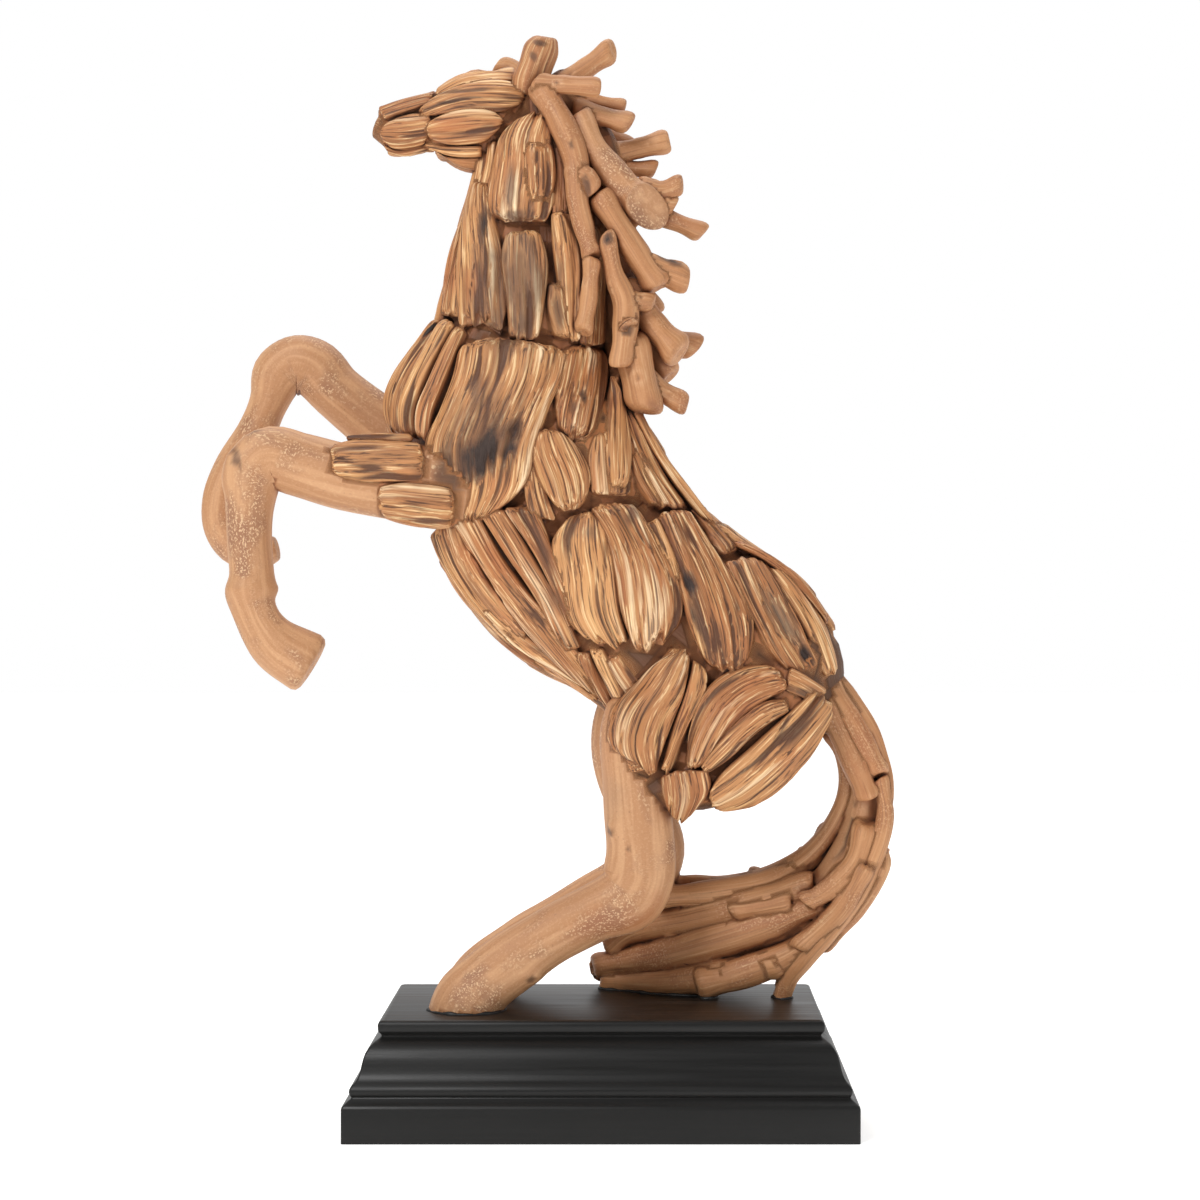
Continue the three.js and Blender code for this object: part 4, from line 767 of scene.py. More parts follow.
TAIL_STRANDS = [
    [[24.6, 14, 100, 6], [41.3, 14, 100.7, 6.5], [60.5, 14, 103, 6.5], [82, 13, 108, 6.5], [100, 12, 120, 6],
     [109, 12, 134, 5]],
    [[104, -3, 213, 5], [115, -4, 196.5, 5], [124.5, -5, 182, 4.5], [130.5, -4, 169, 4],
     [133.6, -4, 152, 4], [131, -2, 128, 3.6]],
    [[104, -8, 206, 5], [114, -10, 190, 5.5], [124, -10, 172, 5.4], [130, -9, 160, 5]],
    [[103, -8, 196, 6], [113, -9, 176, 6.5], [121, -9, 158, 6.6], [124, -10, 149, 5]],
    [[130, -8, 158, 4], [132.5, -8, 140, 4.4], [123.5, -6, 112, 5], [110, -4, 90.5, 4.8],
     [95.5, 2, 72, 5], [87, 8, 60, 5.2], [84.5, 11, 48, 5.2]],
    [[108, 0, 180, 5], [115, 2, 165, 4.6], [114, 4, 146, 4.6], [101, 9, 124, 5], [84, 14, 111, 5.5],
     [60, 20, 103.5, 6], [44, 22, 104, 5.8], [28, 24, 104, 5.8]],
    [[124, -6, 138, 6], [118, -6, 118, 6], [102, -4, 103, 5.4], [95, -4, 100, 4.4]],
    [[124, -8, 118, 5.5], [111, -6, 96, 5.6], [92, 0, 77, 4.8]],
    [[110, -1, 92, 6], [88, 5, 74, 6.5], [62, 9, 63, 8], [44, 11, 58, 7.5]],
    [[108, 2, 102, 7], [76, 9, 87, 8.5], [44, 17, 76, 8.5], [18, 27, 68, 7.5], [-6, 37, 63, 6]],
    [[100, 4, 108, 6], [70, 10, 98, 7.5], [42, 18, 90, 7.6], [14, 29, 82, 7.4], [2, 34, 72, 5.4]],
    [[90, 2, 100, 5], [74, 5, 96, 5], [60, 8, 93.5, 4.6]],
    [[84, 6, 70, 7], [50, 14, 62, 8], [22, 26, 57, 7], [-2, 38, 56, 6]],
    [[131, -2, 126, 4], [131.5, -3, 118, 4.6], [120, -1, 97, 4.6], [103, 2, 77, 4.4]],
    [[84, 22, 106, 5], [70, 22, 109, 4.4]],
    [[104, 16, 118, 5], [93.5, 17, 119.5, 4.4]],
]
FAR_TAIL_STRANDS = [
    [[102, 8, 204, 6], [116, 10, 182, 6.5], [126, 12, 152, 6], [124, 16, 124, 6]],
    [[120, 14, 138, 6], [108, 24, 104, 7], [76, 34, 88, 8], [48, 40, 76, 8], [14, 44, 66, 6]],
    [[112, 20, 112, 6], [84, 32, 76, 8], [52, 40, 62, 8], [16, 45, 58, 6]],
]


def branch(rows, seed, pitch=1.9, grooves=0.0, smooth=1.0, knots=1, core_brown_and_shade=0, worn=0.3,
           cut=None, flare=0.1, slant=0.45):
    """A smooth limb through stations, with lumps, knots and cut ends."""
    at = curve_through([[*row, row[3]] if len(row) == 4 else row for row in rows])
    length = length_of(at)
    sample = at(np.linspace(0, 1, 40))
    radius = sample[:, 3:5].mean()
    count = max(4, round(length / (1.5 * pitch)))
    rim = worn * sample[:, 3].min() / length
    ends = [(0.1, 0, 0.9), (0.02, 0.35, 0.6), (0, 0.62, 0), (0.12, 0.8, 0), (0.45, 0.93, 0), (1.1, 1, 0)]
    steps = [(d * rim, girth, dish) for d, girth, dish in ends]
    steps += [(t, 1, 0) for t in np.linspace(2 * rim, 1 - 2 * rim, count)]
    steps += [(1 - d * rim, girth, -dish) for d, girth, dish in reversed(ends)]
    steps = np.array(steps)
    around = max(12, round(2 * math.pi * radius / pitch))
    mesh, turn, ring = ball_of_wood(around, len(steps) - 1)
    t, girth, dish = steps[ring].T
    angle = turn / around * 2 * math.pi
    along, up, out = core_frame(at, t)
    row = at(t)
    distance = t * length
    draw = np.random.default_rng(seed)
    p = draw.uniform(0, 2 * math.pi, 6)
    lump = 0.05 * np.sin(2 * angle + distance / 19 + p[0]) + 0.035 * np.sin(3 * angle - distance / 12 + p[1])
    lump += 0.04 * np.sin(distance / 9 + p[2]) * np.cos(angle + p[3]) + 0.02 * np.sin(distance / 4.5 + p[4])
    lump = lump * (1 - smooth * 0.35)
    lines = angle * 3 + 0.6 * np.sin(distance / 16 + p[5])
    groove = np.exp(-(np.sin(lines) / 0.35) ** 2) + 0.6 * np.exp(-(np.sin(1.7 * lines + p[2]) / 0.3) ** 2)
    dent = -grooves * groove
    wash = np.zeros((len(t), 3))
    for _ in range(knots):
        spot = draw.uniform(0.2, 0.8) * length
        facing = draw.uniform(math.pi, 2 * math.pi)
        away = np.hypot(distance - spot, (np.angle(np.exp(1j * (angle - facing)))) * radius)
        size = 0.32 * radius + 0.6
        dent = dent + 0.6 * np.exp(-((away - size) / (0.7 * size)) ** 2) - 0.6 * np.exp(-(away / (0.5 * size)) ** 2)
        wash[:, 0] = np.maximum(wash[:, 0], 0.35 * np.exp(-(away / (0.4 * size)) ** 2))
    from_tip = np.minimum(distance, length - distance) / radius
    lump = lump + flare * np.exp(-((from_tip - 0.7) / 0.6) ** 2) - 1.2 * flare * np.exp(-((from_tip - 2.3) / 1.1) ** 2)
    wide = row[:, 3] * (1 + lump) + dent
    deep = row[:, 4] * (1 + lump) + dent
    points = row[:, :3] + up * (np.cos(angle) * girth * wide)[:, None]
    points += out * (np.sin(angle) * girth * deep)[:, None] + along * dish[:, None] * 0.9
    stain_dish, stain = stained(points, np.sin(3 * angle + p[0]) * np.sin(distance / 7 + p[1]) * 0.5)
    around_it = unit(up * np.cos(angle)[:, None] + out * np.sin(angle)[:, None])
    facing = np.clip(-1.6 * around_it[:, 1], 0, 1)
    wash = np.maximum(wash, stain * facing[:, None])
    slants = draw.uniform(-slant, slant, (2, 2))
    slants[1] = slants[1] if cut is None else cut
    for (tilt_up, tilt_out), from_end in zip(slants, (distance, length - distance)):
        near_end = np.clip(1 - from_end / (2.5 * radius), 0, 1) * girth * radius
        points += along * (near_end * (tilt_up * np.cos(angle) + tilt_out * np.sin(angle)))[:, None]
    points -= around_it * (np.minimum(stain_dish, 0.3 * radius) * facing * girth)[:, None]
    wash = wash * (1 - core_brown_and_shade)
    grain = np.stack([np.cos(angle) * girth * radius, np.sin(angle) * girth * radius, distance], axis=1)
    relief = np.clip(dent / 1.2, -1, 1)
    finish_stick(mesh, points, grain + draw.uniform(0, 400, 3), relief, smooth, draw.random(), wash, core_brown_and_shade)


BODY_GAP = 2.8
HEAD_GAP = 1.2
seed = 6000
for rows in (TRUNK, CHEST, NECK, CREST, HEAD, THIGH, mirrored(THIGH), STIFLE, mirrored(STIFLE)):
    gap = HEAD_GAP if rows is HEAD else BODY_GAP
    slim = [[x, y, z, high - gap, deep - gap] for x, y, z, high, deep in rows]
    # the cores show only in the gaps between planks; their note paints them dark brown, partly the brown wash and
    # partly painted shade
    branch(slim, seed, pitch=5, grooves=0.6, smooth=0, knots=0, flare=0, slant=0,
           core_brown_and_shade=0.3 if rows is HEAD else 1)
    seed += 10
for rows in (NEAR_FORELEG, FAR_FORELEG, NEAR_HIND_LEG, FAR_HIND_LEG):
    branch(rows, seed, pitch=2.1, knots=0, flare=0, slant=0)
    seed += 10
slim_tail = [[x, y, z, high - 2.4, deep - 2.4] for x, y, z, high, deep in TAIL]
branch(slim_tail, seed, pitch=3, grooves=1.2, knots=0, flare=0, slant=0)
for rows in NEAR_MANE + FAR_MANE:
    seed += 10
    branch(rows, seed, pitch=1.8, grooves=0.12, smooth=0.8, worn=0.42)
branch(SAWN_BRANCH, seed + 7, pitch=1, worn=0.12, knots=0, cut=(0, 1.5))
for rows in EARS:
    seed += 10
    branch(rows, seed, pitch=1.1, grooves=0.5, smooth=0.4, knots=0)
for rows in TAIL_STRANDS + FAR_TAIL_STRANDS:
    seed += 10
    branch(rows, seed, pitch=2.2, grooves=0.45, smooth=0.75, knots=0, worn=0.5)
print("Sticks:", len(sticks), "faces:", sum(len(stick.data.polygons) for stick in sticks))

# %% [markdown]
# # Joining it all into one casting
# The real horse came out of one mould, so the sticks become one closed skin. A Boolean union does that: the
# Manifold solver takes well under a minute for all of them and keeps the notes for the paint. A second
# Boolean cuts the horse off flat a hair above the plinth. Pockets sealed inside are dropped.

# %% Join
GLUE_GAP = 0.3
PLINTH_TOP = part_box("plinth")[1].z / MM

pile = bpy.data.collections.new("pile")
bpy.context.scene.collection.children.link(pile)
for stick in sticks[1:]:
    pile.objects.link(stick)
bpy.context.scene.collection.objects.link(sticks[0])

block = bmesh.new()
bmesh.ops.create_cube(block, size=600 * MM)
bmesh.ops.translate(block, verts=block.verts, vec=(0, 0, (PLINTH_TOP + GLUE_GAP - 300) * MM))
cutter = bpy.data.objects.new("cutter", bpy.data.meshes.new("cutter"))
block.to_mesh(cutter.data)
block.free()
bpy.context.scene.collection.objects.link(cutter)


def boolean(target, operation, **operand):
    change = target.modifiers.new(operation, "BOOLEAN")
    change.operation = operation
    change.solver = "MANIFOLD"
    for name, value in operand.items():
        setattr(change, name, value)


boolean(sticks[0], "UNION", operand_type="COLLECTION", collection=pile)
boolean(sticks[0], "DIFFERENCE", object=cutter)
joined = bpy.data.meshes.new_from_object(sticks[0].evaluated_get(bpy.context.evaluated_depsgraph_get()))
for extra in [*sticks, cutter]:
    bpy.data.objects.remove(extra)
bpy.data.collections.remove(pile)

shape = bmesh.new()
shape.from_mesh(joined)
bmesh.ops.triangulate(shape, faces=shape.faces)
unseen = set(shape.verts)
islands = []
while unseen:
    island = {unseen.pop()}
    edge_of_island = list(island)
    while edge_of_island:
        vert = edge_of_island.pop()
        new = {edge.other_vert(vert) for edge in vert.link_edges} & unseen
        unseen -= new
        island |= new
        edge_of_island += new
    islands.append(island)
islands.sort(key=len)
for island in islands[:-1]:
    bmesh.ops.delete(shape, geom=list(island), context="VERTS")
print("Joined:", len(shape.verts), "vertices,", len(shape.faces), "triangles,", len(islands) - 1, "pockets dropped,",
      sum(not edge.is_manifold for edge in shape.edges), "open edges")

# %% [markdown]
# # Softening the seams
# In the casting the corners where two sticks meet are filled with resin and paint. A few rounds of smoothing
# on just those creases give that soft fillet and leave the carving alone.

# %% Seams
CREASE = math.radians(35)

creased = {vert for edge in shape.edges if edge.is_manifold and edge.calc_face_angle_signed() < -CREASE
           for vert in edge.verts}
for _ in range(3):
    bmesh.ops.smooth_vert(shape, verts=list(creased), factor=0.4, use_axis_x=True, use_axis_y=True, use_axis_z=True)
floor_level = (PLINTH_TOP + GLUE_GAP) * MM
for vert in shape.verts:
    vert.co.z = max(vert.co.z, floor_level)
print("Seam vertices softened:", len(creased))

# %% [markdown]
# # How open each place is
# A brown wash was wiped over the casting: it stays in the gaps and comes off the high parts. The paint also
# darkens the narrowest gaps to near black, which is painted shade. Rays sent out from every vertex tell how deep
# it lies between its neighbours, and the paint reads that as a note.

# %% Openness
RAYS = 18
RAY_REACH = 16 * MM

shape.normal_update()
tree = BVHTree.FromBMesh(shape)
places = np.array([vert.co for vert in shape.verts])
normals = np.array([vert.normal for vert in shape.verts])
helper = np.where(np.abs(normals[:, :1]) < 0.7, [[1.0, 0, 0]], [[0, 1.0, 0]])
first = unit(np.cross(normals, helper))
second = np.cross(normals, first)
golden = math.pi * (3 - math.sqrt(5))
openness = np.zeros(len(places))
starts = (places + normals * 0.25 * MM).tolist()
for ray in range(RAYS):
    lean = math.sqrt((ray + 0.5) / RAYS)
    aim = first * (lean * math.cos(ray * golden)) + second * (lean * math.sin(ray * golden))
    aim = (aim + normals * math.sqrt(1 - lean * lean)).tolist()
    for vertex, (start, way) in enumerate(zip(starts, aim)):
        distance = tree.ray_cast(start, way, RAY_REACH)[3]
        openness[vertex] += 1 if distance is None else (distance / RAY_REACH) ** 0.7
openness /= RAYS
print("Openness: lowest", round(openness.min(), 2), "mean", round(openness.mean(), 2))

# %% The finished horse
casting = bpy.data.meshes.new("driftwood_horse")
shape.to_mesh(casting)
shape.free()
note(casting, "openness", openness)
casting.shade_smooth()
casting.set_sharp_from_angle(angle=math.radians(60))
horse = bpy.data.objects.new("driftwood_horse", casting)
bpy.context.scene.collection.objects.link(horse)
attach(horse, "root")
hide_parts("horse")

# %% [markdown]
# # Paint of the horse
# The real surface is polyurethane resin: sealed, matt, with an index of refraction near 1.5. It was sprayed
# tan, washed with thin brown, dry-brushed with cream on the ridges and touched with black, orange and grey.
# The nodes repeat those coats in that order, and add painted shade: dark cores between the planks and near black
# in the narrowest gaps. Grain lines are about a millimetre apart, so the fine noise runs at 1.4 cells per mm
# across the grain and one cell per 22 mm along it.

# %% Colours and nodes
def colour(code):
    """An sRGB hex value as the linear colour that the shader wants."""
    parts = [int(code[place:place + 2], 16) / 255 for place in (1, 3, 5)]
    return [part / 12.92 if part <= 0.04045 else ((part + 0.055) / 1.055) ** 2.4 for part in parts] + [1]


def new_material(name):
    material = bpy.data.materials.new(name)
    material.use_nodes = True
    material.node_tree.nodes.clear()
    return material


def add(tree, kind, settings=None, **inputs):
    """Adds a node. Settings are its properties. An input is a value or another node's output."""
    made = tree.nodes.new(kind)
    for name, value in (settings or {}).items():
        setattr(made, name, value)
    for name, value in inputs.items():
        key = int(name[1:]) if name[0] == "_" and name[1:].isdigit() else name.replace("_", " ")
        socket = made.inputs[key]
        if isinstance(value, bpy.types.NodeSocket):
            tree.links.new(value, socket)
        else:
            socket.default_value = value
    return made


def driftwood_resin():
    material = new_material("driftwood_resin")
    tree = material.node_tree

    def read(name):
        return add(tree, "ShaderNodeAttribute", {"attribute_name": name})

    def sums(operation, *values):
        inputs = {f"_{index}": value for index, value in enumerate(values)}
        return add(tree, "ShaderNodeMath", {"operation": operation, "use_clamp": operation != "SUBTRACT"},
                   **inputs).outputs[0]

    def span(value, low, high, start=0.0, end=1.0):
        return add(tree, "ShaderNodeMapRange", {"interpolation_type": "SMOOTHSTEP"}, Value=value, From_Min=low,
                   From_Max=high, To_Min=start, To_Max=end).outputs[0]

    def coat(under, over, cover):
        return add(tree, "ShaderNodeMix", {"data_type": "RGBA"}, Factor=cover, _6=under, _7=over).outputs[2]

    def speck(scale, detail=3.0):
        vector = add(tree, "ShaderNodeVectorMath", {"operation": "MULTIPLY"}, _0=grain, _1=scale).outputs[0]
        return add(tree, "ShaderNodeTexNoise", None, Vector=vector, Scale=1.0, Detail=detail,
                   Roughness=0.6).outputs["Fac"]

    grain = read("grain").outputs["Vector"]
    relief = read("relief").outputs["Fac"]
    smooth = read("smooth").outputs["Fac"]
    tint = read("tint").outputs["Fac"]
    gap = read("openness").outputs["Fac"]
    core_brown_and_shade = read("core_brown_and_shade").outputs["Fac"]
    wash = add(tree, "ShaderNodeSeparateXYZ", None, Vector=read("wash").outputs["Vector"]).outputs

    lines = speck((0.95, 0.95, 0.026), 3.0)
    streaks = speck((0.3, 0.3, 0.018), 2.0)
    patches = speck((0.05, 0.05, 0.035), 3.0)
    grit = speck((1.0, 1.0, 1.0), 3.0)

    # sprayed tan, a little different on every plank
    body = coat(colour("#A5693C"), colour("#CE945E"), span(tint, 0.1, 0.9))
    body = coat(body, colour("#BC7746"), span(patches, 0.45, 0.75, 0.0, 0.7))
    body = coat(body, colour("#DFAE74"), span(streaks, 0.52, 0.72, 0.0, 0.5))
    body = coat(body, colour("#80502E"), span(streaks, 0.48, 0.3, 0.0, 0.55))
    body = coat(body, colour("#FAD8A3"), span(lines, 0.54, 0.68, 0.0, 0.75))
    body = coat(body, colour("#4B2915"), span(lines, 0.47, 0.35, 0.0, 0.9))
    # the limbs are paler, with brown patches under a fine cream speckle
    brown = span(patches, 0.46, 0.7)
    limb = coat(colour("#B7845B"), colour("#C9986E"), span(streaks, 0.4, 0.65))
    limb = coat(limb, colour("#94664A"), sums("MULTIPLY", brown, 0.85))
    fine = sums("MULTIPLY", span(grit, 0.52, 0.62), span(brown, 0.0, 0.7, 0.15, 0.75))
    limb = coat(limb, colour("#E4C097"), fine)
    limb = coat(limb, colour("#8E6145"), span(grit, 0.36, 0.27, 0.0, 0.6))
    # mane and tail hold more of the brown wash than the legs
    limb = coat(limb, colour("#A8683A"), span(smooth, 1.0, 0.85, 0.0, 0.34))
    skin_colour = coat(body, limb, smooth)
    # the cores, seen only in the gaps between planks, go dark brown: partly the brown wash, partly painted shade
    skin_colour = coat(skin_colour, colour("#573620"), sums("MULTIPLY", core_brown_and_shade, 0.95))
    # touches of orange, grey and black
    skin_colour = coat(skin_colour, colour("#B0602F"), sums("MULTIPLY", wash[1], 0.75))
    skin_colour = coat(skin_colour, colour("#73604F"), sums("MULTIPLY", wash[2], 0.8))
    # cream on the ridges, thin brown in the furrows, and in the gaps a brown wash that deepens to near-black painted
    # shade where they are narrowest
    ridge = sums("MULTIPLY", span(relief, 0.1, 0.75), span(gap, 0.6, 0.9))
    ridge = sums("MULTIPLY", ridge, span(smooth, 0.0, 1.0, 0.9, 0.15))
    ridge = sums("MULTIPLY", ridge, span(lines, 0.42, 0.56, 0.2, 1.0))
    skin_colour = coat(skin_colour, colour("#FCDFB4"), ridge)
    skin_colour = coat(skin_colour, colour("#4E2B17"), span(relief, -0.4, -1.05, 0.0, 0.9))
    skin_colour = coat(skin_colour, colour("#8C5430"), span(gap, 0.95, 0.6, 0.0, 0.85))
    # deeper in the gaps the brown turns dark and then near black: partly the wash, partly painted shade
    calm = span(smooth, 0.0, 1.0, 1.0, 0.4)
    deep = sums("MULTIPLY", span(gap, 0.72, 0.36, 0.0, 0.92), calm)
    skin_colour = coat(skin_colour, colour("#4B2913"), deep)
    deep = sums("MULTIPLY", span(gap, 0.42, 0.1, 0.0, 0.95), calm)
    skin_colour = coat(skin_colour, colour("#1D120C"), deep)
    burn = sums("MULTIPLY", wash[0], span(lines, 0.35, 0.6, 0.75, 1.0))
    skin_colour = coat(skin_colour, colour("#5A3A27"), span(burn, 0.02, 0.35, 0.0, 0.75))
    skin_colour = coat(skin_colour, colour("#291C18"), span(burn, 0.3, 0.8, 0.0, 0.92))

    height = sums("ADD", sums("MULTIPLY", lines, span(smooth, 0.0, 1.0, 1.0, 0.1)), sums("MULTIPLY", grit, 0.2))
    bump = add(tree, "ShaderNodeBump", None, Strength=1.0, Distance=0.6 * MM, Height=height)
    rough = span(grit, 0.3, 0.7, 0.52, 0.66)
    shader = add(tree, "ShaderNodeBsdfPrincipled", None, Base_Color=skin_colour, Roughness=rough, IOR=1.5,
                 Normal=bump.outputs[0])
    add(tree, "ShaderNodeOutputMaterial", None, Surface=shader.outputs[0])
    return material


casting.materials.clear()
casting.materials.append(driftwood_resin())

# %% [markdown]
# # The plinth
# One moulded block with a classical stepped edge. It could be a profile swept round a rectangle, but stacking
# does the same and needs no path: the bottom face is extruded up to each height of the profile and scaled to
# that step's size. The four upright corners then get a small bevel.

# %% Plinth
TOP_HALF = (101.2, 49.0)
PLINTH_STEPS = [
    (14.8, 0), (14.8, 15.3), (14.5, 16.4), (13.6, 17.3), (10.9, 19.4), (10.7, 19.9), (11.3, 20.9), (11.65, 22.3),
    (11.4, 23.8), (10.4, 25.3), (9.2, 26.4), (8.2, 27.9), (7.5, 29.6), (7.0, 31.2), (6.5, 33.6), (5.9, 36),
    (5.1, 38.4), (3.9, 40.4), (2.4, 42.2), (0.7, 43.5), (-0.9, 44.5), (-1.5, 45.1), (-1.35, 45.8),
    (-0.4, 46.9), (-0.05, 47.6), (0, 50.2), (-0.35, 51.3), (-1.0, 52.05), (-1.8, 52.3),
]

block = bmesh.new()
bmesh.ops.create_grid(block, x_segments=1, y_segments=1, size=1)
first_out, _ = PLINTH_STEPS[0]
bmesh.ops.scale(block, verts=block.verts, vec=((TOP_HALF[0] + first_out) * MM, (TOP_HALF[1] + first_out) * MM, 1))
top = list(block.faces)
bmesh.ops.reverse_faces(block, faces=top)
for (out, level), (next_out, next_level) in zip(PLINTH_STEPS, PLINTH_STEPS[1:]):
    raised = bmesh.ops.extrude_face_region(block, geom=top)["geom"]
    if level > 0:
        bmesh.ops.delete(block, geom=top, context="FACES_ONLY")
    top = [item for item in raised if isinstance(item, bmesh.types.BMFace)]
    corners = {vert for face in top for vert in face.verts}
    growth = [(half + next_out) / (half + out) for half in TOP_HALF]
    bmesh.ops.scale(block, verts=list(corners), vec=(*growth, 1))
    bmesh.ops.translate(block, verts=list(corners), vec=(0, 0, (next_level - level) * MM))
bmesh.ops.recalc_face_normals(block, faces=block.faces)
upright = [edge for edge in block.edges if abs(edge.verts[0].co.z - edge.verts[1].co.z) > 1e-5]
bmesh.ops.bevel(block, geom=upright, offset=1.0 * MM, offset_type="OFFSET", affect="EDGES", segments=3,
                profile=0.5, material=-1, clamp_overlap=True)
plinth_mesh = bpy.data.meshes.new("moulded_plinth")
block.to_mesh(plinth_mesh)
print("Plinth faces:", len(block.faces), "open edges:", sum(not edge.is_manifold for edge in block.edges))
block.free()
plinth_mesh.shade_smooth()
plinth_mesh.set_sharp_from_angle(angle=math.radians(32))
plinth = bpy.data.objects.new("moulded_plinth", plinth_mesh)
bpy.context.scene.collection.objects.link(plinth)
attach(plinth, "root")
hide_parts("plinth")

# %% [markdown]
# # Sealer round the feet
# Where the horse stands on the plinth the maker ran black sealer round it, and it squeezed out unevenly. Each
# bead is a round tube that follows the foot's outline on the plinth, swelling and thinning along its way.

# %% Sealer beads
BEAD = 0.9
GAP_BETWEEN = 1.6

cut = bmesh.new()
cut.from_mesh(casting)
bmesh.ops.bisect_plane(cut, geom=[*cut.verts, *cut.edges, *cut.faces], dist=1e-7, clear_inner=True,
                       clear_outer=True, plane_co=(0, 0, (PLINTH_TOP + 0.9) * MM), plane_no=(0, 0, 1))
outlines = []
waiting = set(cut.verts)
while waiting:
    walk = [waiting.pop()]
    ahead = True
    while ahead:
        ahead = [edge.other_vert(walk[-1]) for edge in walk[-1].link_edges]
        ahead = [vert for vert in ahead if vert in waiting]
        walk += ahead[:1]
        waiting -= set(walk)
    outlines.append(np.array([vert.co[:2] for vert in walk]) / MM)
cut.free()

sealer = bmesh.new()
for number, outline in enumerate(outlines):
    steps = np.linalg.norm(np.roll(outline, -1, axis=0) - outline, axis=1)
    round_trip = steps.sum()
    if round_trip < 14:
        continue
    walked = np.concatenate([[0], np.cumsum(steps)])
    count = round(round_trip / GAP_BETWEEN)
    at = np.arange(count) / count * round_trip
    closed = np.vstack([outline, outline[:1]])
    middle = np.stack([np.interp(at, walked, closed[:, axis]) for axis in (0, 1)], axis=1)
    middle = (np.roll(middle, 1, axis=0) + 2 * middle + np.roll(middle, -1, axis=0)) / 4
    tangent = unit(np.roll(middle, -1, axis=0) - np.roll(middle, 1, axis=0))
    outward = np.stack([tangent[:, 1], -tangent[:, 0]], axis=1)
    thick = BEAD * (1 + 0.35 * np.sin(at / 3.1 + number) + 0.25 * np.sin(at / 1.3 + 2 * number))
    rings = []
    for turn in np.arange(8) / 8 * 2 * math.pi:
        across = middle + outward * (thick * math.cos(turn))[:, None]
        high = PLINTH_TOP + 0.15 + thick * math.sin(turn)
        rings.append([sealer.verts.new((x * MM, y * MM, z * MM)) for (x, y), z in zip(across, high)])
    edges = [[sealer.edges.new((ring[i - 1], ring[i])) for i in range(count)] for ring in rings]
    for side in range(8):
        bmesh.ops.bridge_loops(sealer, edges=edges[side - 1] + edges[side])
bmesh.ops.recalc_face_normals(sealer, faces=sealer.faces)
sealer_mesh = bpy.data.meshes.new("sealer_beads")
sealer.to_mesh(sealer_mesh)
print("Sealer faces:", len(sealer.faces))
sealer.free()
sealer_mesh.shade_smooth()
beads = bpy.data.objects.new("sealer_beads", sealer_mesh)
bpy.context.scene.collection.objects.link(beads)
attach(beads, "root")

# %% [markdown]
# # Paint of the plinth
# Satin black lacquer over resin: index 1.5, roughness about 0.35, so up-facing parts show a soft sheen. Brushed
# streaks about 2 mm wide run along the block, and the top is worn a little brown. Object coordinates are in
# metres, so a scale of 1000 is one cell per mm.

# %% Lacquer
def satin_black_lacquer():
    material = new_material("satin_black_lacquer")
    tree = material.node_tree
    place = add(tree, "ShaderNodeTexCoord").outputs["Object"]
    long = add(tree, "ShaderNodeVectorMath", {"operation": "MULTIPLY"}, _0=place, _1=(14, 480, 480)).outputs[0]
    streak = add(tree, "ShaderNodeTexNoise", None, Vector=long, Scale=1.0, Detail=3.0).outputs["Fac"]
    dust = add(tree, "ShaderNodeTexNoise", None, Vector=place, Scale=900.0, Detail=2.0).outputs["Fac"]
    cloud = add(tree, "ShaderNodeTexNoise", None, Vector=place, Scale=26.0, Detail=3.0).outputs["Fac"]
    level = add(tree, "ShaderNodeSeparateXYZ", None, Vector=place).outputs[2]
    upper = add(tree, "ShaderNodeMapRange", None, Value=level, From_Min=0.0515, From_Max=0.0523).outputs[0]
    worn = add(tree, "ShaderNodeMapRange", None, Value=streak, From_Min=0.42, From_Max=0.7).outputs[0]
    cover = add(tree, "ShaderNodeMath", {"operation": "MULTIPLY"}, _0=upper, _1=worn).outputs[0]
    base = add(tree, "ShaderNodeMix", {"data_type": "RGBA"}, Factor=cloud, _6=colour("#0C0C0B"),
               _7=colour("#141312")).outputs[2]
    base = add(tree, "ShaderNodeMix", {"data_type": "RGBA"}, Factor=cover, _6=base, _7=colour("#3A312B")).outputs[2]
    rough = add(tree, "ShaderNodeMapRange", None, Value=streak, From_Min=0.3, From_Max=0.7, To_Min=0.34,
                To_Max=0.5).outputs[0]
    height = add(tree, "ShaderNodeMath", {"operation": "ADD"}, _0=streak, _1=dust).outputs[0]
    bump = add(tree, "ShaderNodeBump", None, Strength=0.25, Distance=0.12 * MM, Height=height)
    shader = add(tree, "ShaderNodeBsdfPrincipled", None, Base_Color=base, Roughness=rough, IOR=1.5,
                 Specular_IOR_Level=0.36, Normal=bump.outputs[0])
    add(tree, "ShaderNodeOutputMaterial", None, Surface=shader.outputs[0])
    return material


def black_sealer():
    material = new_material("black_sealer")
    tree = material.node_tree
    place = add(tree, "ShaderNodeTexCoord").outputs["Object"]
    lumps = add(tree, "ShaderNodeTexNoise", None, Vector=place, Scale=700.0, Detail=2.0).outputs["Fac"]
    base = add(tree, "ShaderNodeMix", {"data_type": "RGBA"}, Factor=lumps, _6=colour("#0E0E0D"),
               _7=colour("#1B1A18")).outputs[2]
    bump = add(tree, "ShaderNodeBump", None, Strength=0.5, Distance=0.3 * MM, Height=lumps)
    shader = add(tree, "ShaderNodeBsdfPrincipled", None, Base_Color=base, Roughness=0.5, IOR=1.5,
                 Normal=bump.outputs[0])
    add(tree, "ShaderNodeOutputMaterial", None, Surface=shader.outputs[0])
    return material


plinth_mesh.materials.append(satin_black_lacquer())
sealer_mesh.materials.append(black_sealer())

# %% [markdown]
# # Studio
# A white sweep and soft boxes, as in a catalogue picture: a large key from the upper left front, a weaker fill
# from the right and a strip from above that brightens the back and the plinth's upper faces.

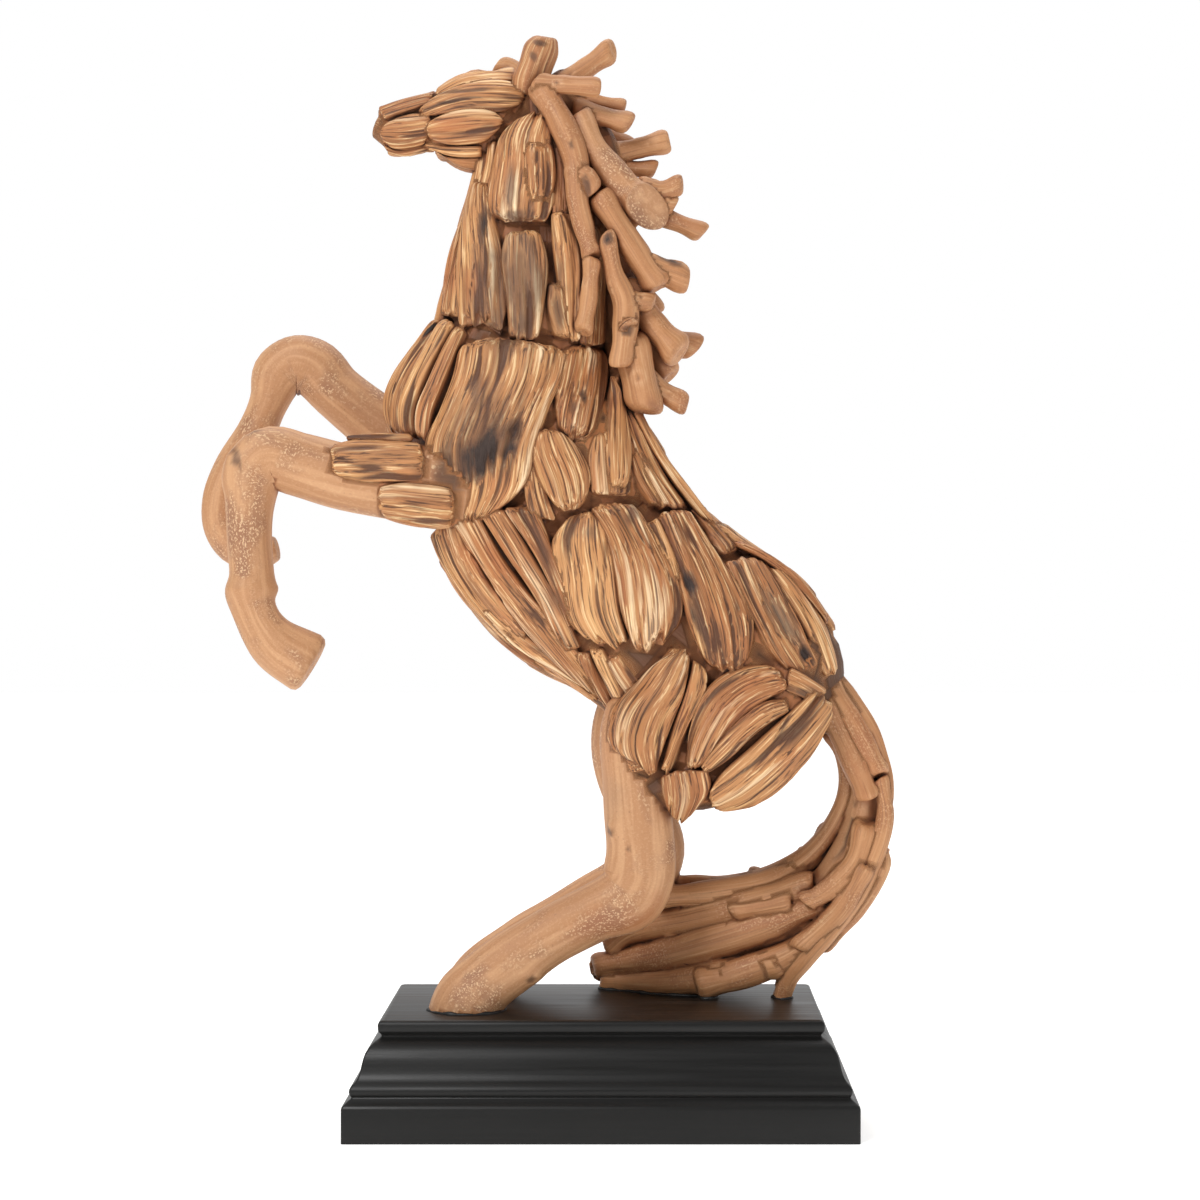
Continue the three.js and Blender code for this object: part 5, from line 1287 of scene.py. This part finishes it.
# %% Floor and light
sheet = bmesh.new()
bmesh.ops.create_grid(sheet, x_segments=1, y_segments=1, size=8)
floor_mesh = bpy.data.meshes.new("floor")
sheet.to_mesh(floor_mesh)
sheet.free()
floor = bpy.data.objects.new("floor", floor_mesh)
bpy.context.scene.collection.objects.link(floor)
paper = new_material("white_paper")
paper_shader = add(paper.node_tree, "ShaderNodeBsdfPrincipled", None, Base_Color=colour("#F4F4F2"), Roughness=0.9,
                   Emission_Color=colour("#FFFFFF"), Emission_Strength=0.5)
add(paper.node_tree, "ShaderNodeOutputMaterial", None, Surface=paper_shader.outputs[0])
floor_mesh.materials.append(paper)

screen_sheet = bmesh.new()
bmesh.ops.create_grid(screen_sheet, x_segments=1, y_segments=1, size=7)
bmesh.ops.rotate(screen_sheet, verts=screen_sheet.verts, matrix=Matrix.Rotation(math.pi / 2, 3, "X"))
bmesh.ops.translate(screen_sheet, verts=screen_sheet.verts, vec=(0, 4, 6))
screen_mesh = bpy.data.meshes.new("screen")
screen_sheet.to_mesh(screen_mesh)
screen_sheet.free()
screen = bpy.data.objects.new("screen", screen_mesh)
bpy.context.scene.collection.objects.link(screen)
glow = new_material("lit_screen")
glow_shader = add(glow.node_tree, "ShaderNodeEmission", None, Color=colour("#FFFFFF"), Strength=1.0)
add(glow.node_tree, "ShaderNodeOutputMaterial", None, Surface=glow_shader.outputs[0])
screen_mesh.materials.append(glow)


def soft_box(name, place, aim, size, watts):
    light = bpy.data.lights.new(name, "AREA")
    light.shape = "RECTANGLE"
    light.size, light.size_y = size
    light.energy = watts
    holder = bpy.data.objects.new(name, light)
    bpy.context.scene.collection.objects.link(holder)
    holder.location = place
    away = holder.location - type(holder.location)(aim)
    holder.rotation_euler = away.to_track_quat("Z", "Y").to_euler()


soft_box("key", (-0.9, -1.3, 1.4), (0, 0, 0.28), (0.8, 0.8), 23)
soft_box("fill", (1.4, -1.2, 0.7), (0, 0, 0.25), (1.0, 1.4), 6)
soft_box("top", (0.1, 0.4, 1.6), (0, 0, 0.25), (1.2, 0.8), 9)

world = bpy.data.worlds.new("white_room")
world.use_nodes = True
world.node_tree.nodes["Background"].inputs["Color"].default_value = (1, 1, 1, 1)
world.node_tree.nodes["Background"].inputs["Strength"].default_value = 0.26
bpy.context.scene.world = world
bpy.context.scene.view_settings.view_transform = "Standard"
